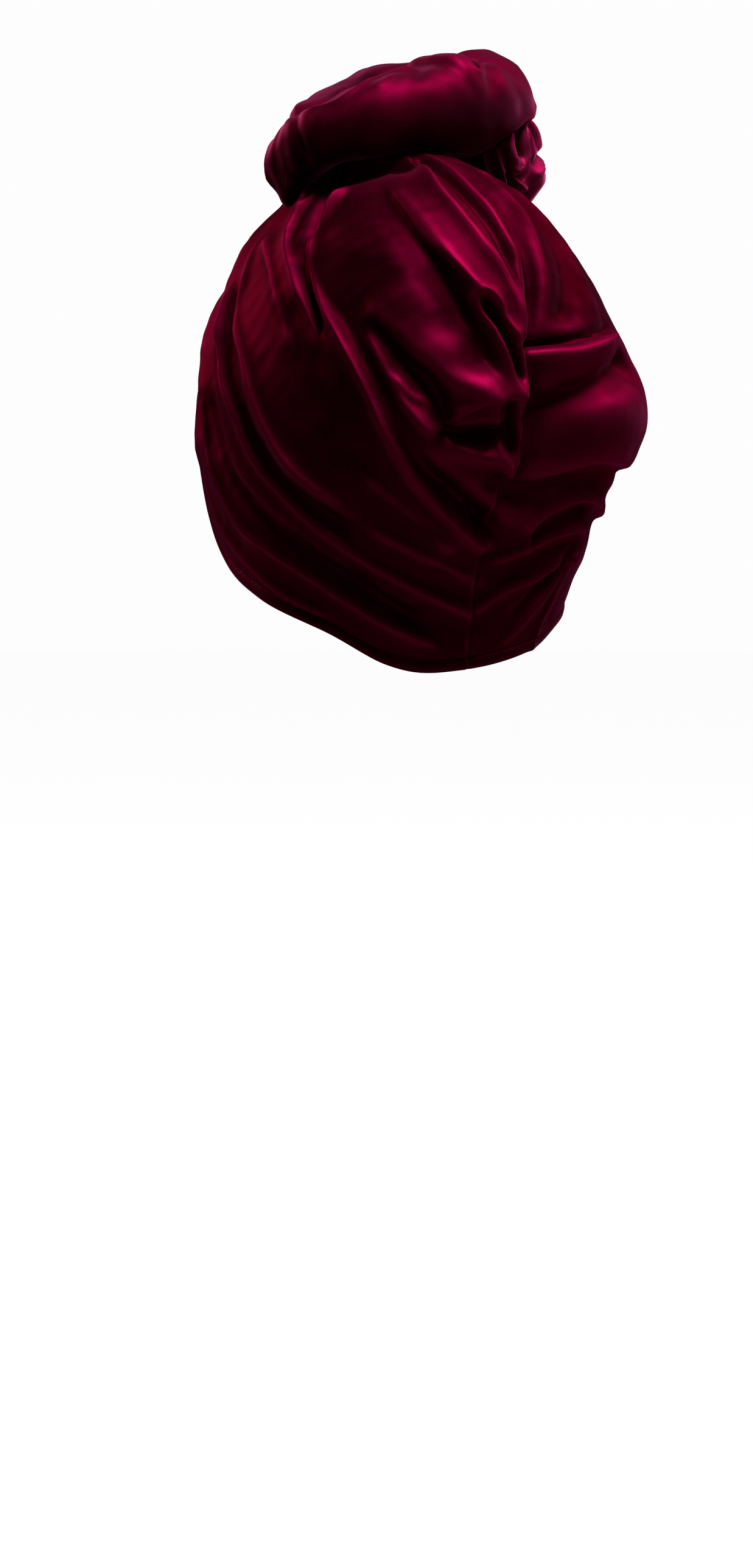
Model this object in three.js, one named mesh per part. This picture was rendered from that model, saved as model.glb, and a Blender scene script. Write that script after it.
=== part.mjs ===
// A velvet turban headwrap: a draped cap with a back seam, its turned hem, and a
// padded knot made of a coiled roll over a ruched tail.
// Millimetres, +Z up. The face looks along -Y, the back seam along +Y and the head's
// left is +X. The origin is the inside of the crown, where the cap sits on a head.
import * as THREE from "three";

// ---- driving dimensions ------------------------------------------------------------
const CLOTH = 2.2; // wall of the cap: stretch velvet with its turned-in allowance
const GAP = 0.65; // clearance between neighbouring pieces
const PRESS_GAP = 1.15; // clearance where a padded piece lies on another, facets included
const HEM_TALL = 6.5; // depth of the turned hem
const HEM_THICK = 3.0; // three layers of velvet
const CAP_COLUMNS = 66;
const CAP_ROWS = 25;
const BACK_CROWDING = 30; // degrees by which columns crowd towards the back
const CROWN_EASE = 0.25; // share of the cap's rows that spread over the crown
const HEM_SIDES = 6;
const ROLL_STATIONS = 44;
const ROLL_SIDES = 16;
const TAIL_COLUMNS = 30;
const TAIL_ROWS = 12;

// Plan of the draped cap at each height: reach from the crown axis to each side.
const capSections = [
  { z: 2.2, front: 0, back: 0, left: 0, right: 0 },
  { z: 0.5, front: 28, back: 25, left: 21, right: 21 },
  { z: -11, front: 51, back: 52, left: 34.5, right: 39.5 },
  { z: -25, front: 67, back: 72, left: 47.5, right: 54 },
  { z: -41, front: 79, back: 86, left: 58.5, right: 67 },
  { z: -60, front: 88, back: 95, left: 67, right: 76.5 },
  { z: -80, front: 94, back: 100, left: 73.5, right: 80.5 },
  { z: -100, front: 96, back: 100, left: 76.5, right: 82 },
  { z: -122, front: 94, back: 92, left: 76.5, right: 81 },
  { z: -140, front: 90, back: 80, left: 74.5, right: 81 },
  { z: -157, front: 84, back: 68, left: 70.5, right: 80.5 },
  { z: -175, front: 77, back: 60, left: 65, right: 74.5 },
  { z: -190, front: 71, back: 57, left: 61, right: 67.5 },
  { z: -212, front: 66, back: 54, left: 57, right: 56.5 },
];

// Lower edge of the hem, the same on both sides: turn in degrees from the back seam.
const hemLine = [
  { turn: -35, z: -200 },
  { turn: 0, z: -205 },
  { turn: 35, z: -200 },
  { turn: 62, z: -189 },
  { turn: 90, z: -178 },
  { turn: 110, z: -168 },
  { turn: 123, z: -154 },
  { turn: 136, z: -124 },
  { turn: 150, z: -99 },
  { turn: 165, z: -88 },
  { turn: 180, z: -85 },
  { turn: 195, z: -88 },
];

// The hem dips a little further beside its seam, on the head's left.
const HEM_DIP = { turn: 26, width: 20, depth: 4 };

// Folds of the cap. Each follows a path of [turn, z] points; turn grows from the back
// seam towards the head's left. rise goes from start to end of the path, negative for a
// valley; left and right are the half widths on either side of the path, seen outside.
const folds = [
  // The bed that the roll presses into the crown.
  { name: "knot_bed", rise: [-4, -5], left: 8, right: 11, path: [[112, -9], [66, -6], [30, -3]] },
  // Left side: long folds that sweep from under the knot down and back to the seam.
  { name: "wrap_valley", rise: [-4, -3], left: 7, right: 4, path: [[62, -6], [84, -25], [75, -42], [57, -68]] },
  { name: "wrap_ridge", rise: [3, 3], left: 6, right: 9, path: [[58, -8], [70, -22], [64, -40], [54, -59], [47, -73]] },
  { name: "long_ridge", rise: [3, 6], left: 7, right: 9, path: [[47, -73], [35, -105], [21, -134], [4, -154]] },
  { name: "deep_pocket", rise: [-3, -9], left: 6, right: 5, path: [[29, -116], [19, -132], [8, -146]] },
  { name: "middle_ridge", rise: [2, 6], left: 7, right: 6, path: [[37, -76], [29, -97], [18, -115], [3, -130]] },
  { name: "panel_belly", rise: [3, 5], left: 12, right: 12, path: [[38, -58], [27, -80], [14, -93]] },
  { name: "pleat_pocket", rise: [-6, -7], left: 5, right: 5, path: [[19, -107], [10, -107], [5, -112]] },
  { name: "upper_valley", rise: [-4, -7], left: 8, right: 6, path: [[30, -22], [21, -35], [11, -55], [8, -76]] },
  { name: "seam_pleat", rise: [3, 6], left: 8, right: 3, path: [[11, -58], [4, -84], [1, -102], [2, -130]] },
  { name: "shoulder_ridge", rise: [3, 4], left: 7, right: 7, path: [[16, -3], [8, -27], [2, -50], [1, -72]] },
  { name: "crown_ridge", rise: [2, 3], left: 6, right: 6, path: [[0, -3], [-8, -20], [-7, -40], [-2, -60]] },
  { name: "temple_ridge", rise: [2, 3], left: 10, right: 10, path: [[97, -25], [90, -60], [85, -91], [68, -120]] },
  { name: "sweep_ridge", rise: [2, 3], left: 8, right: 8, path: [[104, -98], [79, -134], [50, -161], [13, -180]] },
  { name: "nape_ridge", rise: [2, 2], left: 6, right: 6, path: [[112, -120], [86, -153], [51, -177], [26, -192]] },
  // Right side: a puff of loose cloth held by the creases that run back to the seam.
  { name: "puff", rise: [11, 18], left: 27, right: 27, path: [[-30, -96], [-52, -94], [-74, -96]] },
  { name: "puff_crease", rise: [-5, -4], left: 5, right: 5, path: [[-3, -75], [-22, -71], [-42, -66]] },
  { name: "puff_floor", rise: [-4, -6], left: 9, right: 9, path: [[-4, -127], [-24, -124], [-58, -127]] },
  { name: "catch_fold", rise: [2, 7], left: 4, right: 6, path: [[-15, -150], [-27, -142], [-60, -139]] },
  { name: "neck_ridge", rise: [2, 3], left: 5, right: 6, path: [[-9, -167], [-17, -156], [-60, -147]] },
  // Front and right front: folds that rise from the hem to the knot.
  { name: "brow_ridge", rise: [3, 3], left: 8, right: 8, path: [[128, -120], [150, -82], [-172, -52], [-140, -24]] },
  { name: "brow_valley", rise: [-3, -3], left: 7, right: 7, path: [[120, -96], [142, -62], [178, -34]] },
  { name: "front_ridge", rise: [3, 3], left: 7, right: 7, path: [[-128, -122], [-150, -82], [-168, -44]] },
  { name: "side_ridge", rise: [3, 3], left: 9, right: 9, path: [[-104, -150], [-116, -104], [-124, -50]] },
  { name: "side_valley", rise: [-3, -3], left: 8, right: 8, path: [[-92, -142], [-102, -96], [-110, -44]] },
];

// The coiled roll, by its turn about the knot's middle (0 at the back, towards the left):
// how far it reaches outward and the heights of its crest and underside.
const KNOT_MIDDLE = { x: -0.5, y: -19 };
const KNOT_HALF_SPAN = 27; // half length of the crease that the coil closes on
const ROLL_SQUARENESS = 2.35; // superellipse exponent of the padded section
const rollTurns = [
  { turn: 0, reach: 46, crest: 37, under: -1 },
  { turn: 25, reach: 42, crest: 29, under: -2 },
  { turn: 45, reach: 37, crest: 22, under: -6 },
  { turn: 70, reach: 27, crest: 18.5, under: -14 },
  { turn: 90, reach: 22, crest: 15, under: -20 },
  { turn: 112, reach: 22, crest: 11, under: -21 },
  { turn: 135, reach: 25, crest: 17, under: -21 },
  { turn: 150, reach: 31, crest: 22.5, under: -17 },
  { turn: 180, reach: 43, crest: 33.5, under: -14 },
  { turn: 192, reach: 45, crest: 38.5, under: -12 },
  { turn: 205, reach: 46, crest: 41, under: -11 },
  { turn: 235, reach: 45, crest: 42.5, under: -5 },
  { turn: 270, reach: 44, crest: 45.5, under: 3 },
  { turn: 292, reach: 43.5, crest: 42, under: 5 },
  { turn: 308, reach: 44, crest: 37.5, under: 4 },
  { turn: 325, reach: 45.5, crest: 40.5, under: 1 },
  { turn: 342, reach: 46, crest: 40.5, under: -1 },
  { turn: 352, reach: 46, crest: 38, under: -1 },
];

// The ruched tail under the right end of the roll: an upright puff with gathers.
const TAIL = { x: -49.5, y: -9, z: -2, across: 20.4, along: 20, tall: 20 };
const GATHERS = 15;
const GATHER_DEPTH = 1.6;
const TAIL_BOXINESS = 0.66; // 1 is an ellipsoid, less is squarer

const velvet = { cap: 0x6b0a40, hem: 0x560833, roll: 0x73104a, tail: 0x7d1450 };

// ---- small tools -------------------------------------------------------------------
const radians = THREE.MathUtils.degToRad;
const clamp = THREE.MathUtils.clamp;

// Monotone cubic through named columns of a table whose rows go along one key.
function column(rows, key, value) {
  const x = rows.map((row) => row[key]);
  const y = rows.map((row) => row[value]);
  const slopes = x.slice(1).map((next, i) => (y[i + 1] - y[i]) / (next - x[i]));
  const tangent = x.map((_, i) => {
    if (i === 0) return slopes[0];
    if (i === x.length - 1) return slopes[i - 1];
    if (slopes[i - 1] * slopes[i] <= 0) return 0;
    return (2 * slopes[i - 1] * slopes[i]) / (slopes[i - 1] + slopes[i]);
  });
  const rising = x[1] > x[0];
  return (at) => {
    let i = 0;
    while (i < x.length - 2 && (rising ? at > x[i + 1] : at < x[i + 1])) i += 1;
    const span = x[i + 1] - x[i];
    const t = clamp((at - x[i]) / span, 0, 1);
    const a = (1 + 2 * t) * (1 - t) ** 2 * y[i] + t * t * (3 - 2 * t) * y[i + 1];
    return a + span * (t * (1 - t) ** 2 * tangent[i] - t * t * (1 - t) * tangent[i + 1]);
  };
}

// A closed surface through rings of equal length, with a pole at either end.
function spindle(rings, firstPole, lastPole) {
  const size = rings[0].length;
  const points = [firstPole, ...rings.flat(), lastPole];
  const last = points.length - 1;
  const faces = [];
  for (let j = 0; j < size; j += 1) {
    const k = (j + 1) % size;
    faces.push(0, 1 + j, 1 + k);
    for (let i = 0; i < rings.length - 1; i += 1) {
      const upper = 1 + i * size;
      const lower = upper + size;
      faces.push(upper + j, lower + j, lower + k, upper + j, lower + k, upper + k);
    }
    const rim = last - size;
    faces.push(rim + j, last, rim + k);
  }
  return closedGeometry(points, faces);
}

// A closed surface through sections that come round to the first one again.
function hoop(sections) {
  const size = sections[0].length;
  const points = sections.flat();
  const faces = [];
  sections.forEach((_, i) => {
    const here = i * size;
    const next = ((i + 1) % sections.length) * size;
    for (let j = 0; j < size; j += 1) {
      const k = (j + 1) % size;
      faces.push(here + j, next + j, next + k, here + j, next + k, here + k);
    }
  });
  return closedGeometry(points, faces);
}

function closedGeometry(points, faces) {
  const geometry = new THREE.BufferGeometry().setFromPoints(points);
  geometry.setIndex(signedVolume(points, faces) > 0 ? faces : faces.slice().reverse());
  geometry.computeVertexNormals();
  return geometry;
}

function signedVolume(points, faces) {
  let volume = 0;
  for (let i = 0; i < faces.length; i += 3) {
    const [a, b, c] = [points[faces[i]], points[faces[i + 1]], points[faces[i + 2]]];
    volume += a.dot(b.clone().cross(c)) / 6;
  }
  return volume;
}

// ---- the draped cap ----------------------------------------------------------------
const reachTo = {
  front: column(capSections, "z", "front"),
  back: column(capSections, "z", "back"),
  left: column(capSections, "z", "left"),
  right: column(capSections, "z", "right"),
};
const CROWN_TOP = capSections[0].z;
const CROWN_DISC = capSections[1].z; // above this height the crown is a shallow bowl
const hemHeight = column(hemLine, "turn", "z");

function hemAt(turn) {
  const signed = ((((turn + 180) % 360) + 360) % 360) - 180;
  const dip = HEM_DIP.depth * Math.exp(-(((signed - HEM_DIP.turn) / HEM_DIP.width) ** 2));
  return hemHeight(Math.abs(signed)) - dip;
}

// Smooth form of the cap without folds.
function capPoint(turn, z) {
  const sine = Math.sin(radians(turn));
  const cosine = Math.cos(radians(turn));
  const level = Math.min(z, CROWN_DISC);
  const bowl = Math.sqrt(clamp((CROWN_TOP - z) / (CROWN_TOP - CROWN_DISC), 0, 1));
  const deep = (cosine > 0 ? reachTo.back : reachTo.front)(level);
  const wide = (sine > 0 ? reachTo.left : reachTo.right)(level);
  const radius = (1 / Math.hypot(cosine / deep, sine / wide)) * (z > CROWN_DISC ? bowl : 1);
  return new THREE.Vector3(radius * sine, radius * cosine, z);
}

function capNormal(turn, z) {
  const step = 0.5;
  const around = capPoint(turn - step, z).sub(capPoint(turn + step, z));
  const down = capPoint(turn, z - step).sub(capPoint(turn, Math.min(z + step, CROWN_TOP - 0.01)));
  const normal = down.cross(around).normalize();
  return normal.z < -0.999 ? normal.negate() : normal;
}

const foldPaths = folds.map((fold) => {
  const route = fold.path.map(([turn, z]) => capPoint(turn, z));
  const curve = new THREE.CatmullRomCurve3(route, false, "centripetal");
  return { ...fold, steps: curve.getPoints(6 * route.length) };
});

// Height of all folds at a point of the smooth form.
function foldHeight(point, normal) {
  const chord = new THREE.Vector3();
  const offset = new THREE.Vector3();
  let height = 0;
  for (const { steps, rise, left, right } of foldPaths) {
    let nearest = Infinity;
    let share = 0;
    let side = 1;
    for (let i = 0; i < steps.length - 1; i += 1) {
      chord.subVectors(steps[i + 1], steps[i]);
      offset.subVectors(point, steps[i]);
      const along = clamp(offset.dot(chord) / chord.lengthSq(), 0, 1);
      offset.addScaledVector(chord, -along);
      const distance = offset.length();
      if (distance < nearest) {
        nearest = distance;
        share = (i + along) / (steps.length - 1);
        side = chord.cross(offset).dot(normal);
      }
    }
    const width = side > 0 ? left : right;
    const here = rise[0] + (rise[1] - rise[0]) * share;
    height += here * Math.exp(-((nearest / width) ** 2));
  }
  return height;
}

function drapedPoint(turn, z, inward) {
  const point = capPoint(turn, z);
  const normal = capNormal(turn, z);
  const crownFade = clamp((CROWN_TOP - z) / 12, 0, 1);
  return point.clone().addScaledVector(normal, foldHeight(point, normal) * crownFade - inward);
}

// Share of the cap's height at each row: shallow steps over the crown, even ones below.
function rowDrop(share) {
  return (share ** 3 * (1 + CROWN_EASE ** 2)) / (share ** 2 + CROWN_EASE ** 2);
}

function columnTurn(j, count) {
  const share = j / count;
  return 360 * share - BACK_CROWDING * Math.sin(2 * Math.PI * share);
}

function makeCap() {
  const ring = (row, inward) =>
    Array.from({ length: CAP_COLUMNS }, (_, j) => {
      const turn = columnTurn(j, CAP_COLUMNS);
      const edge = hemAt(turn) + HEM_TALL + GAP;
      const z = CROWN_TOP + (edge - CROWN_TOP) * rowDrop(row / CAP_ROWS);
      return drapedPoint(turn, z, inward);
    });
  const rows = Array.from({ length: CAP_ROWS }, (_, i) => i + 1);
  const outside = rows.map((row) => ring(row, 0));
  const inside = rows.map((row) => ring(row, CLOTH)).reverse();
  const top = new THREE.Vector3(0, 0, CROWN_TOP);
  const seat = new THREE.Vector3(0, 0, CROWN_TOP - CLOTH);
  return spindle([...outside, ...inside], top, seat);
}

// ---- the turned hem ----------------------------------------------------------------
function makeHem() {
  const sections = Array.from({ length: CAP_COLUMNS }, (_, j) => {
    const turn = columnTurn(j, CAP_COLUMNS);
    const outward = (HEM_THICK - CLOTH) / 2;
    return Array.from({ length: HEM_SIDES }, (_, k) => {
      const angle = (2 * Math.PI * (k + 0.5)) / HEM_SIDES;
      const corner = 1 / Math.cos(Math.PI / HEM_SIDES);
      const rise = clamp(Math.sin(angle) * corner, -1, 1) * (HEM_TALL / 2);
      const proud = Math.cos(angle) * (HEM_THICK / 2);
      const edge = drapedPoint(turn, hemAt(turn) + HEM_TALL + GAP, CLOTH / 2 - outward);
      const foot = drapedPoint(turn, hemAt(turn), CLOTH / 2 - outward);
      const spot = edge.lerp(foot, 0.5).setZ(hemAt(turn) + HEM_TALL / 2 + rise);
      const radial = new THREE.Vector3(spot.x, spot.y, 0).normalize();
      return spot.addScaledVector(radial, proud);
    });
  });
  return hoop(sections);
}

// Height of the draped crown above a place in plan.
function crownHeight(x, y) {
  const turn = THREE.MathUtils.radToDeg(Math.atan2(x, y));
  const wanted = Math.hypot(x, y);
  let high = CROWN_TOP;
  let low = -80;
  for (let i = 0; i < 24; i += 1) {
    const middle = (high + low) / 2;
    const reach = drapedPoint(turn, middle, 0);
    if (Math.hypot(reach.x, reach.y) < wanted) high = middle;
    else low = middle;
  }
  return Math.max(high, drapedPoint(turn, high, 0).z);
}

// ---- the coiled roll ---------------------------------------------------------------
const lapped = [...rollTurns.slice(-2).map((row) => ({ ...row, turn: row.turn - 360 })), ...rollTurns]
  .concat(rollTurns.slice(0, 3).map((row) => ({ ...row, turn: row.turn + 360 })));
const rollReach = column(lapped, "turn", "reach");
const rollCrest = column(lapped, "turn", "crest");
const rollUnder = column(lapped, "turn", "under");

// A point of the roll's section at one turn; angle 0 is its outer side, 90 its crest.
function rollPoint(turn, angle) {
  const inner = PRESS_GAP;
  const outer = rollReach(turn);
  const crest = rollCrest(turn);
  const under = rollUnder(turn);
  const power = 2 / ROLL_SQUARENESS;
  const across = Math.sign(Math.cos(angle)) * Math.abs(Math.cos(angle)) ** power;
  const upward = Math.sign(Math.sin(angle)) * Math.abs(Math.sin(angle)) ** power;
  const out = (outer + inner) / 2 + (across * (outer - inner)) / 2;
  const sine = Math.sin(radians(turn));
  const x = KNOT_MIDDLE.x + (KNOT_HALF_SPAN + out) * sine;
  const y = KNOT_MIDDLE.y + out * Math.cos(radians(turn));
  const z = (crest + under) / 2 + (upward * (crest - under)) / 2;
  return new THREE.Vector3(x, y, Math.max(z, crownHeight(x, y) + PRESS_GAP));
}

function makeRoll() {
  return hoop(
    Array.from({ length: ROLL_STATIONS }, (_, i) =>
      Array.from({ length: ROLL_SIDES }, (_, k) =>
        rollPoint((360 * i) / ROLL_STATIONS, (2 * Math.PI * k) / ROLL_SIDES),
      ),
    ),
  );
}

// Height of the roll's underside above a place in plan, or none beyond its outline.
function rollUnderside(x, y) {
  const dx = x - KNOT_MIDDLE.x;
  const dy = y - KNOT_MIDDLE.y;
  let near = 0.01;
  let far = 90;
  for (let i = 0; i < 30; i += 1) {
    const out = (near + far) / 2;
    if ((dx / (KNOT_HALF_SPAN + out)) ** 2 + (dy / out) ** 2 > 1) near = out;
    else far = out;
  }
  const turn = THREE.MathUtils.radToDeg(Math.atan2(dx / (KNOT_HALF_SPAN + near), dy / near));
  const round = (turn + 360) % 360;
  const reach = rollReach(round) + PRESS_GAP;
  if (near >= reach) return Infinity;
  const across = Math.abs((2 * near) / reach - 1);
  const drop = (1 - across ** ROLL_SQUARENESS) ** (1 / ROLL_SQUARENESS);
  const middle = (rollCrest(round) + rollUnder(round)) / 2;
  return middle - drop * (middle - rollUnder(round));
}

// ---- the ruched tail ---------------------------------------------------------------
function makeTail() {
  const place = (column_, row) => {
    const turn = (2 * Math.PI * column_) / TAIL_COLUMNS;
    const tilt = (Math.PI * row) / TAIL_ROWS;
    const gather = Math.cos(GATHERS * turn) * GATHER_DEPTH * Math.sin(tilt) ** 2;
    const out = Math.abs(Math.sin(tilt)) ** TAIL_BOXINESS;
    const rise = Math.sign(Math.cos(tilt)) * Math.abs(Math.cos(tilt)) ** TAIL_BOXINESS;
    const x = TAIL.x + (TAIL.across + gather) * out * Math.sin(turn);
    const y = TAIL.y + (TAIL.along + gather) * out * Math.cos(turn);
    const z = TAIL.z + TAIL.tall * rise;
    const ceiling = rollUnderside(x, y) - PRESS_GAP;
    const floor = crownHeight(x, y) + PRESS_GAP;
    return new THREE.Vector3(x, y, Math.max(Math.min(z, ceiling), floor));
  };
  const rings = Array.from({ length: TAIL_ROWS - 1 }, (_, i) =>
    Array.from({ length: TAIL_COLUMNS }, (_, j) => place(j, i + 1)),
  );
  return spindle(rings, place(0, 0), place(0, TAIL_ROWS));
}

// ---- assembly ----------------------------------------------------------------------
function piece(name, geometry, color, roughness) {
  const material = new THREE.MeshStandardMaterial({ color, roughness, metalness: 0 });
  const mesh = new THREE.Mesh(geometry, material);
  mesh.name = name;
  return mesh;
}

const turban = new THREE.Group();
turban.add(piece("cap", makeCap(), velvet.cap, 0.8));
turban.add(piece("hem", makeHem(), velvet.hem, 0.85));

const knot = new THREE.Group();
knot.add(piece("knot_roll", makeRoll(), velvet.roll, 0.8));
knot.add(piece("ruched_tail", makeTail(), velvet.tail, 0.8));
turban.add(knot);

export default turban;
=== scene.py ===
"""A draped velvet turban with a gathered back seam and a coiled, padded knot.

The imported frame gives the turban's place and height. This script models the cloth of
each piece as a mesh, works its folds out from short tables, and dresses it in velvet.
"""

import logging
import math
from dataclasses import dataclass, field
from enum import Enum
from typing import Callable, Sequence

import bpy
import numpy as np
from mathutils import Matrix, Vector
from mathutils.bvhtree import BVHTree


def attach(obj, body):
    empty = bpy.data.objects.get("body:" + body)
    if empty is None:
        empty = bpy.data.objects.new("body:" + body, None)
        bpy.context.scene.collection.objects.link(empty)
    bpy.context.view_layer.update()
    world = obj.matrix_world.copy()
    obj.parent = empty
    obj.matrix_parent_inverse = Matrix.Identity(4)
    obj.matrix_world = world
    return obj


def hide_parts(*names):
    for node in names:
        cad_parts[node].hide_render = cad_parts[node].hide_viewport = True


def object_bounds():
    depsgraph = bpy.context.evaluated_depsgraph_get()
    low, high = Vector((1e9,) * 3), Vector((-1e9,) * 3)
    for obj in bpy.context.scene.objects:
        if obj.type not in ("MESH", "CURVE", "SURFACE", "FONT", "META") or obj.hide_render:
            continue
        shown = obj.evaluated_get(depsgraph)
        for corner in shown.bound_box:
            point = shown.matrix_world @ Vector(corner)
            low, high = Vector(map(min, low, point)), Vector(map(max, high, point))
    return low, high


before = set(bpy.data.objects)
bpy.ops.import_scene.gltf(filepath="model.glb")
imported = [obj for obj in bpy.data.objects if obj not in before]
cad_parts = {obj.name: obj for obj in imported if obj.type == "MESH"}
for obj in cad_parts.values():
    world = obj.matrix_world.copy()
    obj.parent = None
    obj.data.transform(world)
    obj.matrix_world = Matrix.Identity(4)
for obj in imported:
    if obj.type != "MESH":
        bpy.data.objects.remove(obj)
CAD_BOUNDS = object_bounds()

LOG = logging.getLogger("turban")
MM = 0.001
Array = np.ndarray
Pair = tuple[float, float]
Color = tuple[float, float, float]


# ---------------------------------------------------------------------------
# Curves and unevenness
# ---------------------------------------------------------------------------
class Column:
    """A smooth monotone curve through one column of a table."""

    def __init__(self, at: Sequence[float], value: Sequence[float]) -> None:
        """Keep the knots and their tangents.

        Args:
            at: the key of each row, rising or falling.
            value: the value of each row.
        """
        order = np.argsort(np.asarray(at, float))
        self.at = np.asarray(at, float)[order]
        self.value = np.asarray(value, float)[order]
        slopes = np.diff(self.value) / np.diff(self.at)
        inner = np.zeros(len(slopes) - 1)
        rising = slopes[:-1] * slopes[1:] > 0
        both = slopes[:-1] + slopes[1:]
        inner[rising] = 2 * slopes[:-1][rising] * slopes[1:][rising] / both[rising]
        self.tangent = np.concatenate(([slopes[0]], inner, [slopes[-1]]))

    def __call__(self, wanted: Array) -> Array:
        """Read the curve.

        Args:
            wanted: keys, of any shape.

        Returns:
            The values there, held at the table's ends.
        """
        keys = np.clip(wanted, self.at[0], self.at[-1])
        i = np.clip(np.searchsorted(self.at, keys) - 1, 0, len(self.at) - 2)
        span = self.at[i + 1] - self.at[i]
        t = (keys - self.at[i]) / span
        ends = (1 + 2 * t) * (1 - t) ** 2 * self.value[i] + t * t * (3 - 2 * t) * self.value[i + 1]
        bend = t * (1 - t) ** 2 * self.tangent[i] - t * t * (1 - t) * self.tangent[i + 1]
        return ends + span * bend


def unit(vectors: Array) -> Array:
    """Scale vectors, along the last axis, to length one."""
    return vectors / np.maximum(np.linalg.norm(vectors, axis=-1, keepdims=True), 1e-9)


def signed_turn(turn: Array) -> Array:
    """The same turns, counted from -180 to 180."""
    return (turn + 180) % 360 - 180


def smooth_route(points: Array, steps: int = 8) -> Array:
    """Pass a Catmull-Rom curve through points.

    Args:
        points: the route's points, in order.
        steps: how many pieces each stretch is cut into.

    Returns:
        The points of the smooth route.
    """
    padded = np.vstack((2 * points[0] - points[1], points, 2 * points[-1] - points[-2]))
    route = []
    for a, b, c, d in zip(padded[:-3], padded[1:-2], padded[2:-1], padded[3:]):
        square, cube = 2 * a - 5 * b + 4 * c - d, 3 * b - a - 3 * c + d
        for t in np.linspace(0, 1, steps, endpoint=False):
            route.append(0.5 * (2 * b + (c - a) * t + square * t * t + cube * t ** 3))
    return np.array(route + [points[-1]])


@dataclass(frozen=True)
class Ripple:
    """A soft unevenness: the sum of plane waves in random directions.

    The height and the middle wavelength are in mm. spread holds the shortest and the
    longest wave as shares of the middle one, and peak is how many times its usual
    strength the waves' sum has at full height.
    """

    height: float
    wavelength: float
    seed: int
    waves: int = 18
    spread: Pair = (0.65, 1.6)
    peak: float = 1.6

    def at(self, points: Array) -> Array:
        """Read the unevenness.

        Args:
            points: places in mm.

        Returns:
            Values that mostly stay within the height on either side of 0.
        """
        rng = np.random.default_rng(self.seed)
        total = np.zeros(points.shape[:-1])
        for _ in range(self.waves):
            direction = unit(rng.normal(size=3))
            length = self.wavelength * rng.uniform(*self.spread)
            phase = rng.uniform(0, 2 * math.pi)
            total += np.sin(2 * math.pi * (points @ direction) / length + phase)
        return self.height * (total / math.sqrt(self.waves / 2) / self.peak)


# ---------------------------------------------------------------------------
# Folds
# ---------------------------------------------------------------------------
FOLD_REACH = 3.2  # half widths, or end lengths, past which a fold has died out
FOLD_MARGIN = 2.0  # mm searched beyond that
FOLD_HEADROOM = 6.0  # mm off the surface, past half the width, at which a fold fades
CREST_ROUND = 0.13  # share of a pinched fold's half width over which its crest is rounded
FLANK_FALL = 1.5  # how steeply a pinched fold falls beside its crest
FLANK_FADE = 0.25  # how soon its flanks die out


class Profile(Enum):
    """The section of a fold across its path."""

    SOFT = "a rounded swell"
    PINCHED = "a narrow crest with hollow flanks"


@dataclass(frozen=True)
class Fold:
    """One ridge, or valley if its rise is negative.

    The rise goes from the path's start to its end. left and right are half widths on
    either side of the path, seen from outside, lean is how far the crest tips over
    towards the right side, and ends is how far the fold runs on past its path, in mm.
    """

    name: str
    rise: Pair
    left: float
    right: float
    path: tuple[Pair, ...]
    lean: float = 0.0
    profile: Profile = Profile.SOFT
    ends: float = 7.0

    def section(self, across: Array, beyond: Array, above: Array) -> Array:
        """The fold's height at points, as a share of its rise.

        Args:
            across: distance from the path towards the left side.
            beyond: distance past either end of the path.
            above: distance off the surface.

        Returns:
            Shares from 0 to 1.
        """
        width = np.where(across > 0, self.left, self.right)
        ratio = across / width
        if self.profile is Profile.PINCHED:
            section = np.exp(-FLANK_FALL * (np.sqrt(ratio ** 2 + CREST_ROUND ** 2) - CREST_ROUND))
            section *= np.exp(-FLANK_FADE * ratio ** 2)
        else:
            section = np.exp(-ratio ** 2)
        return section * np.exp(-(beyond / self.ends) ** 2 - (above / (width / 2 + FOLD_HEADROOM)) ** 2)


def soft(
    name: str, rise: Pair, left: float, right: float, *path: Pair, lean: float = 0, ends: float = 7
) -> Fold:
    """A rounded fold, whose path is given place by place."""
    return Fold(name, rise, left, right, path, lean, Profile.SOFT, ends)


def pinched(
    name: str, rise: Pair, left: float, right: float, *path: Pair, lean: float = 0, ends: float = 7
) -> Fold:
    """A fold with a narrow crest, whose path is given place by place."""
    return Fold(name, rise, left, right, path, lean, Profile.PINCHED, ends)


def nearest_on_route(points: Array, normals: Array, route: Array) -> tuple[Array, ...]:
    """Find where points lie beside a route.

    Args:
        points: points near the route.
        normals: the surface's normals there.
        route: the route's points.

    Returns:
        For each point its share of the way along, its distances across the route, beyond
        its ends and above it, and the direction of the route's left side.
    """
    count = len(points)
    best = np.full(count, np.inf)
    share, across, beyond, above = np.zeros((4, count))
    leftward = np.zeros((count, 3))
    for i in range(len(route) - 1):
        chord = route[i + 1] - route[i]
        length = np.linalg.norm(chord)
        offset = points - route[i]
        along = np.clip(offset @ chord / length ** 2, 0, 1)
        offset -= along[:, None] * chord
        distance = np.linalg.norm(offset, axis=1)
        closer = distance < best
        side = unit(np.cross(normals[closer], chord / length))
        best[closer] = distance[closer]
        share[closer] = (i + along[closer]) / (len(route) - 1)
        across[closer] = np.sum(offset[closer] * side, axis=1)
        beyond[closer] = offset[closer] @ chord / length
        above[closer] = np.sum(offset[closer] * normals[closer], axis=1)
        leftward[closer] = side
    return share, across, beyond, above, leftward


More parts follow.
